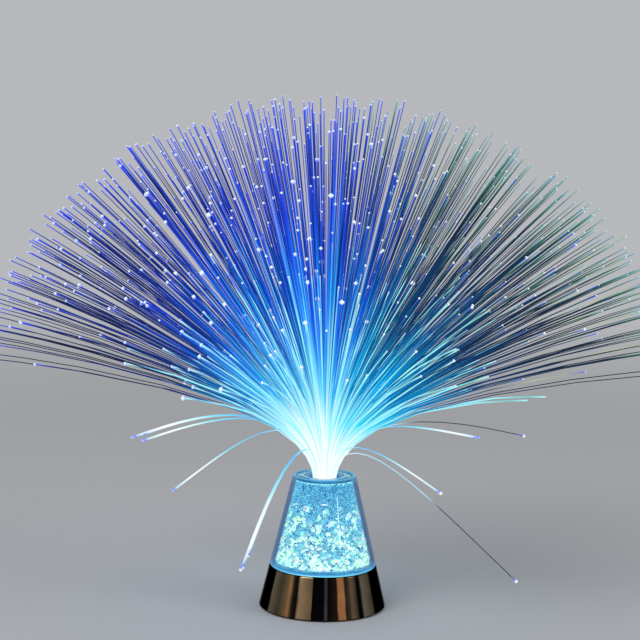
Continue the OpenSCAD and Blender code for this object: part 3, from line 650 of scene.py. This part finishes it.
dice = random.Random(11)
grain_shapes = [crushed(4, 0.5, seed) for seed in range(8)]
grit_shapes = [crushed(5, 0.45, seed) for seed in range(12)]
shard_shapes = [crushed(7, 0.42, seed) for seed in range(10)]
lump_shapes = shard_shapes[:6] + [crushed(4, 0.35, seed) for seed in range(20, 32)]
fill = bmesh.new()
painted_face_glow = []


def put_chip(shape, place, pose, tone, low=0.6, high=1.2):
    """Adds a chip, turned and stretched by its pose, each of whose faces is painted to glow a little
    differently.
    """
    chip = shape.copy()
    chip.transform(Matrix.Translation(place) @ pose)
    fill.from_mesh(chip)
    bpy.data.meshes.remove(chip)
    for _ in range(len(shape.polygons)):
        painted_face_glow.append([c * dice.uniform(low, high) for c in tone])


def any_way(size, thin=0.6):
    """A random turn and stretch of a chip."""
    turn = Vector([dice.uniform(-1, 1) for _ in range(3)]).to_track_quat("Z", "Y").to_matrix().to_4x4()
    return turn @ Matrix.Diagonal([size * dice.uniform(thin, 1.25) for _ in range(3)] + [1])


def brightness(place, height):
    """Painted light at a chip: most near the foot, uneven from cluster to cluster, and darker in crevices.
    """
    distances, centres = noise.voronoi(place / cluster_size)
    crevice = min(1, (distances[1] - distances[0]) / crevice_width)
    patch = noise.noise(place / patch_size) + cluster_light * (noise.cell(centres[0] * 31) - 0.5)
    return clamped(foot_light - light_fall * height + patch_light * patch - crevice_loss * (1 - crevice))


# The bed behind the outer chips, a wavy wall that nothing shows through, with a painted glow
bed_top = fill_high - 0.6 * MM
bed_foot_depth = 2 * MM
bed_depth = 1.7 * MM
bed_hole_r = tube_r + 0.3 * MM
bed_steps = 40
bed_sides = 96
wave_size = 2.2 * MM
wave_height = 0.7 * MM
still_r = tube_r + 2 * MM
bed_line = [(wall_r(fill_low) - bed_foot_depth, fill_low)]
for step in range(1, bed_steps + 1):
    z = fill_low + (bed_top - fill_low) * step / bed_steps
    bed_line.append((wall_r(z) - bed_depth, z))
bed_line += [(bed_hole_r, bed_top), (bed_hole_r, fill_low)]
bed = spun(bed_line, bed_sides)
sort_faces(bed)
for corner in bed.verts:
    if math.hypot(corner.co.x, corner.co.y) > still_r:
        wave = noise.noise(corner.co / wave_size) * wave_height
        corner.co += Vector((corner.co.x, corner.co.y, 0)).normalized() * wave
bed_mesh = made_mesh(bed, "bed")
fill.from_mesh(bed_mesh)
# The bed's painted glow is brighter towards the foot, where the lights are, and varies at random from face
# to face
for face in bed_mesh.polygons:
    depth = 1 - (face.center.z - fill_low) / (fill_high - fill_low)
    lit_tone = mixed(grit_blue, pale_cyan, 0.5 * depth)
    painted_face_glow.append(mixed(deep_blue, lit_tone, dice.random() * (0.4 + 0.6 * depth)))
bpy.data.meshes.remove(bed_mesh)

# Small chips: their shapes and number, and their size in millimetres at the foot and at the top
small_chips = ((grit_shapes, grit_count, 1.5, 0.6), (grain_shapes, grain_count, 0.62, 0.42))
for shapes, count, large, small in small_chips:
    for _ in range(count):
        height = dice.random()
        z = fill_low + (fill_high - fill_low) * height
        size = (small + (large - small) * (1 - height) ** 1.5) * MM * dice.uniform(0.6, 1.2)
        depth = chip_layer * dice.random() ** 1.5
        radius = wall_r(z) - size * 0.8 - 0.2 * MM - depth
        place = around_axis(radius, dice.uniform(-math.pi, math.pi), max(z, fill_low + size * 0.4))
        lift = brightness(place, height)
        tone = mixed(grit_blue, pale_cyan, (0.1 + 0.9 * lift) * dice.uniform(0.7, 1))
        # The more light is painted on a chip, the likelier it takes the frosted white, which is partly
        # frosting and partly painted glow
        chance = dice.random()
        if chance < dark_chance:
            tone = deep_blue
        elif chance < dark_chance + frost_chance + lit_frost_chance * lift * lift:
            tone = frosted_and_glowing_white
        put_chip(dice.choice(shapes), place, any_way(size), tone)

# Lumps in the lower two thirds
for _ in range(lump_count):
    height = lump_reach * dice.random() ** 1.5
    z = fill_low + (fill_high - fill_low) * height
    size = dice.uniform(*lump_sizes) * (1 - 0.35 * height)
    radius = wall_r(z) - size * 0.75 - 0.1 * MM
    place = around_axis(radius, dice.uniform(-math.pi, math.pi), max(z, fill_low + size * 0.7))
    tone = mixed(pale_cyan, frosted_and_glowing_white, dice.random())
    put_chip(dice.choice(lump_shapes), place, any_way(size, 0.4), tone, 0.5, 1.2)

# Grit on top, round the tube
top_width = wall_r(fill_high) - 1.4 * MM - tube_r
for _ in range(top_count):
    radius = tube_r + 0.6 * MM + top_width * math.sqrt(dice.random())
    place = around_axis(radius, dice.uniform(-math.pi, math.pi), fill_high - dice.uniform(0.5, 0.9) * MM)
    tone = mixed(grit_blue, pale_cyan, dice.random())
    put_chip(dice.choice(grit_shapes), place, any_way(dice.uniform(*top_sizes)), tone)

# Flat shards against the wall, and one small rosy chip at the front of the foot
for shape, (turn, z, half_long, half_wide, tilt) in zip(shard_shapes, shards):
    angle = math.radians(turn - 90)
    pose = Matrix.Rotation(angle + math.pi / 2, 4, "Z") @ Matrix.Rotation(math.radians(-tilt), 4, "Y")
    pose = pose @ Matrix.Diagonal((half_long * MM, shard_half_thick, half_wide * MM, 1))
    place = around_axis(wall_r(z * MM) - shard_half_thick, angle, z * MM)
    put_chip(shape, place, pose, shard_white, 0.45, 1.1)
place = around_axis(wall_r(fill_low) - 1.1 * MM, math.radians(-90.5), fill_low + 0.9 * MM)
put_chip(lump_shapes[0], place, any_way(1.0 * MM), rose, 0.8, 1.1)

# Chips that lean on the wall or stand on the floor lie flat against it
for corner in fill.verts:
    corner.co.z = max(corner.co.z, floor_top)
    most = (wall_r(corner.co.z) - wall_gap) / math.hypot(corner.co.x, corner.co.y)
    if most < 1:
        corner.co.x *= most
        corner.co.y *= most
fill_mesh = made_mesh(fill, "crystal_filling")
layer = fill_mesh.attributes.new("tone", "FLOAT_COLOR", "FACE")
layer.data.foreach_set("color", np.array([[*c, 1] for c in painted_face_glow], np.float32).clip(0, 1).ravel())

base_grey = (0.4, 0.4, 0.4, 1)
painted_sparkle_tones = ((0.15, (1, 1, 1)), (0.6, (0.72, 0.8, 0.84)), (0.85, (0.3, 0.48, 0.55)))
lit_resin, tree, shader = new_material("lit_crushed_resin")
# The tone attribute carries each face's painted glow
tone = tree.nodes.new("ShaderNodeAttribute")
tone.attribute_name = "tone"
# Painted sparkle: small cells that brighten and darken the glow within each chip
sparkle_cells = pattern(tree, "ShaderNodeTexVoronoi", 1500)
sparkle = ramp(tree, sparkle_cells.outputs["Distance"], painted_sparkle_tones)
tree.links.new(laid_over(tree, tone.outputs["Color"], base_grey), shader.inputs["Base Color"])
tree.links.new(laid_over(tree, tone.outputs["Color"], sparkle), shader.inputs["Emission Color"])
set_inputs(shader, {"Emission Strength": 2.85, "Roughness": 0.12})
lit_resin.cycles.emission_sampling = "NONE"
fill_mesh.materials.append(lit_resin)
filling = link_piece("crystal_filling", fill_mesh)
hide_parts("crystal_chips")
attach(filling, "base")

# ---- Ferrule and bonded core -------------------------------------------------
# A drawn aluminium sleeve holds the bundle's foot, where the light guides are cast into one clear rod.
# Both drop into the tube, and the rod's face shows in the cone's mouth, lit from below.
drawn_tones = ((0.3, (0.48, 0.50, 0.53)), (0.7, (0.90, 0.91, 0.93)))
ferrule, tree, shader = new_material("satin_aluminium")
_, _, z = object_axes(tree)
rings = tree.nodes.new("ShaderNodeTexNoise")
rings.noise_dimensions = "1D"
set_inputs(rings, {"Scale": 2200, "Detail": 5})
tree.links.new(z, rings.inputs["W"])
tree.links.new(ramp(tree, rings.outputs["Fac"], drawn_tones), shader.inputs["Base Color"])
tree.links.new(between(tree, rings.outputs["Fac"], 0.2, 0.45), shader.inputs["Roughness"])
roughened(tree, shader, rings.outputs["Fac"], 0.02 * MM)
set_inputs(shader, {"Metallic": 1})
finish_node(ferrule, "bundle_ferrule")

core_glow = ((0.2, (0.95, 1.0, 1.0)), (0.7, (0.45, 0.85, 1.0)))
core, tree, shader = new_material("lit_core")
strand_ends = pattern(tree, "ShaderNodeTexVoronoi", 1600)
tree.links.new(ramp(tree, strand_ends.outputs["Distance"], core_glow), shader.inputs["Emission Color"])
set_inputs(shader, {"Emission Strength": 1, "Base Color": (0.3, 0.4, 0.45, 1)})
core.cycles.emission_sampling = "NONE"
finish_node(core, "bonded_core")

# ---- Spray of light guides ---------------------------------------------------
# Drawn acrylic strands about half a millimetre thick, bonded into one bundle and fanned out by their own
# curl. They leak light along their length and shine at their tips, where a hot blade left beads. Main
# strands follow the solids' own rule, and finer ones stand between them.
bundle_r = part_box("bonded_core")[1].x
face_z = cone_high.z - 1.0 * MM
strand_len = 256 * MM
strand_rings = 10
ring_step = 0.69 * MM
edge_margin = 0.7 * MM
main_step = 0.9 * MM
fine_step = 0.48 * MM
rim_step = 0.85 * MM
first_rim_ring = 9
fine_offset = 0.35 * ring_step
clumping = 0.35
main_r = 0.30 * MM
fine_r = 0.29 * MM
bright_r = 0.5 * MM
spread = math.radians(78)
front_spread = math.radians(57)
fan_start = 0.1
fan_reach = 30 * MM
droop = math.radians(12)
wander = math.radians(4)
fine_curl = math.radians(30)
sectors = 8
sector_turn = 2 * math.pi / sectors
strand_sides = 4
# Main strands that are left out, by sector and place in the outer ring, because they are strays
stray_places = {(3, 1), (3, 0), (2, 4), (5, 3), (1, 0), (6, 3), (6, 4), (7, 1)}
# Shares of long strands and of middling ones, and how much the lengths of the short ones spread
main_lengths = (0.76, 0.16, 0.18)
fine_lengths = (0.62, 0.23, 0.25)
# Least length as a share of the longest, and how much it spreads
long_least, long_spread = 0.965, 0.035
middle_least, middle_spread = 0.62, 0.33
short_least = 0.42
# Rows of a strand, from the mouth on and back from its tip
stations = [s * MM for s in (0, 6, 14, 26, 44, 75, 125, 180)]
tip_stations = [s * MM for s in (34, 12, 0)]
tip_zone = 50 * MM
foot_depth = 1.2 * MM
foot_shoulder = 1.1 * MM
# Rows of a bead, in radii of the bead: how far ahead of the strand's tip, and how wide
bead_start = -1.7
bead_rows = ((-0.9, 0.95), (-0.3, 0.75), (0, 0))
long_beads = (0.55, 0.65, 0.75, 0.9, 1.15)
other_beads = (1.0, 1.2, 1.4, 1.6, 1.9)

white = (1.0, 1.0, 1.0)
hot = (0.86, 1.0, 1.0)
near = (0.42, 0.95, 1.0)
cyan = (0.05, 0.62, 1.0)
azure = (0.008, 0.26, 1.0)
blue = (0.004, 0.06, 0.80)
ink = (0.003, 0.022, 0.42)
dusk = (0.004, 0.010, 0.16)
# Colours by the distance from the mouth in millimetres
lit_side = (
    (0, white), (24, white), (41, hot), (58, near), (83, cyan), (116, azure), (160, blue), (205, ink),
    (245, dusk),
)
far_left = (
    (0, white), (20, white), (36, hot), (52, near), (76, (0.02, 0.42, 0.9)), (105, (0.004, 0.08, 0.45)),
    (145, (0.003, 0.015, 0.15)), (256, (0.003, 0.007, 0.06)),
)
dim_side = (
    (0, white), (18, white), (30, hot), (40, near), (58, (0.0, 0.72, 0.95)), (85, (0.0, 0.28, 0.72)),
    (125, (0.002, 0.07, 0.26)), (180, (0.002, 0.02, 0.06)), (256, (0.003, 0.014, 0.028)),
)
# How far across the dim right side and the far left start, over what width, and how blurred
dim_from = 0.06
dim_over = 0.2
left_from = 0.42
left_over = 0.4
side_blur = 0.3
# Scatter moves the colours of a strand in or out, and those of a strand that leans far lie further in
reach_least, reach_spread = 0.8, 0.45
reach_upright, reach_loss = 1.12, 0.4
# Short strands soon turn bright, and the others part into vivid and dark tufts further out
bright_tone = (0.34, 0.92, 1.0)
bright_over = 70 * MM
tuft_from = 45 * MM
tuft_over = 50 * MM
tuft_scale = 7
tuft_light = 1.2
vivid_middle, vivid_spread = 0.85, 0.5
vivid_least, vivid_most = 0.3, 1.4
blue_end = (0.02, 0.09, 0.85)
left_end = (0.01, 0.02, 0.30)
green_end = (0.07, 0.30, 0.16)
# A few strands at the far right end in a yellowish streak, and the green fades there
streak_end = (0.72, 0.78, 0.50)
streak_from = 0.72
streak_chance = 0.12
green_fades_from = 0.84
green_fades_over = 0.1
blue_halo = (0.02, 0.06, 1.0)
green_halo = (0.22, 0.52, 0.36)
lit_tip = (0.82, 0.97, 1.0)
dim_tip = (0.90, 1.0, 0.88)
# Steps that spread each trait of the strands evenly, whatever their number
scatter_steps = {
    "kind": 0.754878, "length": 0.56984, "curl": 0.3819, "dim": 0.3247, "left": 0.6626, "vivid": 0.4142,
    "reach": 0.7321, "bead": 0.2361, "streak": 0.1459, "green": 0.2915, "aside": 0.618034, "place": 0.4656,
}


def scatter(number, trait):
    """An even scatter of numbers between 0 and 1."""
    return number * scatter_steps[trait] % 1


def along(stops, s):
    """The colour at a distance from the mouth, between the two nearest stops."""
    for (s0, c0), (s1, c1) in zip(stops, stops[1:]):
        if s <= s1 * MM:
            return mixed(c0, c1, max(0.0, (s - s0 * MM) / ((s1 - s0) * MM)))
    return stops[-1][1]


def bent(s, reach):
    """The share of its whole lean that a strand has at a distance from the mouth."""
    return fan_start + (1 - fan_start) * (1 - math.exp(-s / reach))


def fan_lean(full, s):
    """Lean of a strand of the spray, which its weight adds to."""
    return full * bent(s, fan_reach) + droop * math.sin(full) * (s / strand_len) ** 1.5


def follow(lean, places, start, azimuth, step=1 * MM):
    """Points and directions of a strand at the given distances along it."""
    out = around_axis(1, azimuth, 0)
    up = Vector((0, 0, 1))
    point = start.copy()
    s = 0.0
    points = []
    for place in places:
        while s < place - 1e-9:
            go = min(step, place - s)
            angle = lean(s + go / 2)
            point = point + go * (math.sin(angle) * out + math.cos(angle) * up)
            s += go
        angle = lean(place)
        points.append((point.copy(), math.sin(angle) * out + math.cos(angle) * up))
    return points


def strand_rows(line, width, bead_r):
    """Places and widths of a strand, from its sunk foot to the end of its bead."""
    foot, first = line[0]
    tip, aim = line[-1]
    rows = [(foot - first * foot_depth, 0.0), (foot - first * foot_shoulder, width)]
    rows += [(point, width) for point, _ in line[:-1]]
    rows.append((tip + aim * bead_r * bead_start, width))
    rows += [(tip + aim * bead_r * ahead, bead_r * wide) for ahead, wide in bead_rows]
    return rows


def tubes(name, strands, sides):
    """One mesh of thin closed tubes. A strand is a list of places, widths and colours."""
    curve = bpy.data.curves.new(name, "CURVE")
    curve.dimensions = "3D"
    curve.bevel_depth = 1
    curve.bevel_resolution = sides // 2 - 2
    for strand in strands:
        spline = curve.splines.new("POLY")
        spline.points.add(len(strand) - 1)
        spline.points.foreach_set("co", [x for place, _, _ in strand for x in (*place, 1)])
        spline.points.foreach_set("radius", [width for _, width, _ in strand])
    shape = bpy.data.objects.new(name, curve)
    bpy.context.scene.collection.objects.link(shape)
    graph = bpy.context.evaluated_depsgraph_get()
    mesh = bpy.data.meshes.new_from_object(shape.evaluated_get(graph))
    bpy.data.objects.remove(shape)
    bpy.data.curves.remove(curve)
    rows = [[*colour, 1] for strand in strands for _, _, colour in strand]
    colours = np.repeat(np.array(rows, np.float32), len(mesh.vertices) // len(rows), axis=0)
    glow = mesh.attributes.new("glow", "FLOAT_COLOR", "POINT")
    glow.data.foreach_set("color", colours.clip(0, 1).ravel())
    bm = bmesh.new()
    bm.from_mesh(mesh)
    bmesh.ops.remove_doubles(bm, verts=bm.verts, dist=0.002 * MM)
    bmesh.ops.recalc_face_normals(bm, faces=bm.faces)
    for face in bm.faces:
        face.smooth = True
    bm.to_mesh(mesh)
    bm.free()
    return mesh


light_guide, tree, shader = new_material("lit_light_guide")
glow = tree.nodes.new("ShaderNodeAttribute")
glow.attribute_name = "glow"
set_inputs(shader, {"Base Color": (0.004, 0.012, 0.04, 1), "Roughness": 0.3, "Specular IOR Level": 0.12,
                    "Emission Strength": 1})
tree.links.new(glow.outputs["Color"], shader.inputs["Emission Color"])
light_guide.cycles.emission_sampling = "NONE"


def end_tones(number, long, across, dimness, leftness):
    """Colours of a strand's last length, of the halo round its bead and of its tip."""
    if across > streak_from and scatter(number, "streak") < streak_chance:
        end = streak_end
    else:
        end = mixed(mixed(blue_end, left_end, leftness), green_end, dimness)
    far_right = clamped((across - green_fades_from) / green_fades_over)
    green_share = dimness * (1 - 0.8 * far_right) * (0.6 + 0.4 * scatter(number, "green"))
    if not long:
        green_share *= 0.25
    return end, mixed(blue_halo, green_halo, green_share), mixed(lit_tip, dim_tip, dimness)


def light_strand(number, ring_r, azimuth, aside, width, lengths):
    """One strand of the spray, coloured by its distance from the mouth and by the side it leans to."""
    widest = spread - (spread - front_spread) * math.sin(azimuth) ** 2
    full = math.acos(1 - (1 - math.cos(widest)) * (ring_r / bundle_r) ** 2) + aside
    long_part, middle_part, short_spread = lengths
    kind, more = scatter(number, "kind"), scatter(number, "length")
    long = kind < long_part
    bright = kind > long_part + middle_part
    if long:
        length = strand_len * (long_least + long_spread * more)
    elif bright:
        length = strand_len * (short_least + short_spread * more)
    else:
        length = strand_len * (middle_least + middle_spread * more)
    curl = fine_curl * (scatter(number, "curl") - 0.3) if bright and lengths is fine_lengths else 0

    places = [s for s in stations if s < length - tip_zone] + [length - s for s in tip_stations]
    start = around_axis(ring_r, azimuth, face_z)
    line = follow(lambda s: fan_lean(full, s) + curl * s / length, places, start, azimuth)

    across = math.sin(full) * math.cos(azimuth)
    ahead = math.sin(full) * math.sin(azimuth)
    dimness = clamped((across - dim_from + side_blur * (scatter(number, "dim") - 0.5)) / dim_over)
    leftness = clamped((-across - left_from + side_blur * (scatter(number, "left") - 0.5)) / left_over)
    tuft = noise.noise(Vector((across, ahead, math.cos(full))) * tuft_scale)
    vivid = vivid_middle + tuft_light * tuft + vivid_spread * (scatter(number, "vivid") - 0.5)
    vivid = clamped(vivid, vivid_least, vivid_most)
    reach = reach_least + reach_spread * scatter(number, "reach")
    reach *= reach_upright - reach_loss * full / spread
    colours = []
    for s in [0, 0] + places[:-1]:
        colour = mixed(along(lit_side, s / reach), along(far_left, s / reach), leftness)
        colour = mixed(colour, along(dim_side, s / reach), dimness)
        if bright:
            colour = mixed(colour, bright_tone, min(0.95, 0.4 + s / bright_over))
        else:
            fade_in = clamped((s - tuft_from) / tuft_over)
            colour = tuple(c * (1 + (vivid - 1) * fade_in) for c in colour)
        colours.append(colour)

    end, halo, tip = end_tones(number, long, across, dimness, leftness)
    if end == streak_end:
        colours[-2] = mixed(colours[-2], end, 0.7)
    colours[-1] = mixed(colours[-1], end, 0.5)
    colours += [near if bright else halo, mixed(halo, tip, 0.45), tip, tip]
    beads = long_beads if long else other_beads
    bead_r = beads[int(len(beads) * scatter(number, "bead"))] * MM * (1 - 0.4 * dimness)
    rows = strand_rows(line, bright_r if bright else width, bead_r)
    return [(place, size, colour) for (place, size), colour in zip(rows, colours)]


for sector in range(sectors):
    strands = []
    for ring in range(1, strand_rings + 1):
        ring_r = bundle_r - edge_margin - (strand_rings - ring) * ring_step
        main_count = max(1, round(ring_r * sector_turn / main_step))
        for place in range(main_count):
            if ring == strand_rings and (sector, place) in stray_places:
                continue
            number = 100 * sector + 10 * ring + place
            azimuth = (sector + (place + 0.5) / main_count) * sector_turn
            aside = wander * (scatter(number, "aside") - 0.5) if ring < strand_rings else 0
            strands.append(light_strand(number, ring_r, azimuth, aside, main_r, main_lengths))
        # The inner finer ring gathers round the main strands, the outer one between them
        for shift in (1, 2):
            fine_ring_r = min(ring_r + (2 * shift - 3) * fine_offset, bundle_r - fine_r)
            step = fine_step if ring < first_rim_ring else rim_step
            count = max(1, round(fine_ring_r * sector_turn / step))
            middle = 1 - shift / 2
            for place in range(count):
                number = 3000 + 1000 * sector + 60 * ring + 30 * shift + place
                share = (place + scatter(number, "place")) / count
                nearest = (round(share * main_count - middle) + middle) / main_count
                azimuth = (sector + share + clumping * (nearest - share)) * sector_turn
                aside = wander * (scatter(number, "aside") - 0.5)
                strands.append(light_strand(number, fine_ring_r, azimuth, aside, fine_r, fine_lengths))
    mesh = tubes(f"spray_{sector + 1}", strands, strand_sides)
    mesh.materials.append(light_guide)
    piece = link_piece(f"spray_{sector + 1}", mesh)
    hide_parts(f"fibres_{sector + 1}")
    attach(piece, "bundle")

# ---- Stray light guides ------------------------------------------------------
# Eight places where the curl has gone: one or more strands hang together, apart from the spray. They
# glow azure at first and white in their last third. Two of them are lit for only half their length.

# Azimuth and full turn in degrees, length of the bend and of the strand in mm, strands, lit share
strays = (
    (146.25, 116, 52, 180, 3, 1.0), (138.75, 112, 44, 190, 2, 1.0), (123.75, 120, 38, 230, 2, 1.0),
    (251.25, 136, 52, 170, 3, 1.0), (48.75, 104, 32, 180, 2, 1.0), (296.25, 100, 32, 160, 2, 1.0),
    (303.75, 112, 32, 210, 1, 0.56), (326.25, 100, 52, 160, 1, 0.5),
)
stray_stations = [s * MM for s in (0, 4, 9, 15, 22, 30, 40, 52, 66, 84, 100, 116, 132, 148, 164, 180, 200)]
stray_tip_stations = [7 * MM, 0]
stray_tip_zone = 14 * MM
stray_sides = 8
stray_root = bundle_r - edge_margin
# Strands that hang together: their lengths and beads, and how they stand apart in radians
stray_reaches = (1, 0.985, 0.93)
stray_beads = (1.15 * MM, 0.95 * MM, 0.8 * MM)
root_apart = 0.02
turn_apart = 0.003
# Colours by the place along a strand, as if each were 180 mm long
stray_stops = (
    (0, white), (22, white), (38, (0.34, 0.85, 1.0)), (70, (0.10, 0.52, 1.0)), (105, (0.22, 0.78, 1.0)),
    (130, (0.80, 1.0, 1.0)), (162, white), (180, (0.30, 0.72, 1.0)),
)
stops_len = 180 * MM
half_lit = (0.6, 0.95, 1.0)
unlit = (0.010, 0.016, 0.06)
tip_halo = (0.03, 0.14, 1.0)
tip_shares = (0, 0.5, 0.9, 1)
# Fully lit strands swell from the thin radius to the thick one
thin_r = 0.27 * MM
thick_r = 0.40 * MM
swell_from = 0.45
swell_over = 0.2
for number, (azimuth, turn, bend, length, count, lit_share) in enumerate(strays, 1):
    azimuth, turn, bend, length = math.radians(azimuth), math.radians(turn), bend * MM, length * MM
    group = []
    for k in range(count):
        apart = k - (count - 1) / 2
        reach = length * stray_reaches[k]
        own_turn = turn * (1 + turn_apart * apart)
        places = [s for s in stray_stations if s < reach - stray_tip_zone]
        places += [reach - s for s in stray_tip_stations]
        start = around_axis(stray_root, azimuth + root_apart * apart, face_z)
        line = follow(lambda s: own_turn * bent(s, bend), places, start, azimuth + turn_apart * apart)
        rows = strand_rows(line, thin_r, stray_beads[k])
        bead_from = len(rows) - len(tip_shares)
        strand = []
        for i, (place, size) in enumerate(rows):
            share = ([0, 0] + places)[min(i, len(places))] / reach
            colour = along(stray_stops, share * stops_len)
            if share > lit_share:
                colour = unlit
            elif lit_share < 1:
                colour = mixed(colour, half_lit, 0.6)
            elif size == thin_r:
                size += (thick_r - thin_r) * clamped((share - swell_from) / swell_over)
            if i >= bead_from:
                colour = mixed(tip_halo, white, tip_shares[i - bead_from])
            strand.append((place, size, colour))
        group.append(strand)
    mesh = tubes(f"stray_{number}", group, stray_sides)
    mesh.materials.append(light_guide)
    piece = link_piece(f"stray_{number}", mesh)
    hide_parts(f"stray_fibre_{number}")
    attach(piece, "bundle")
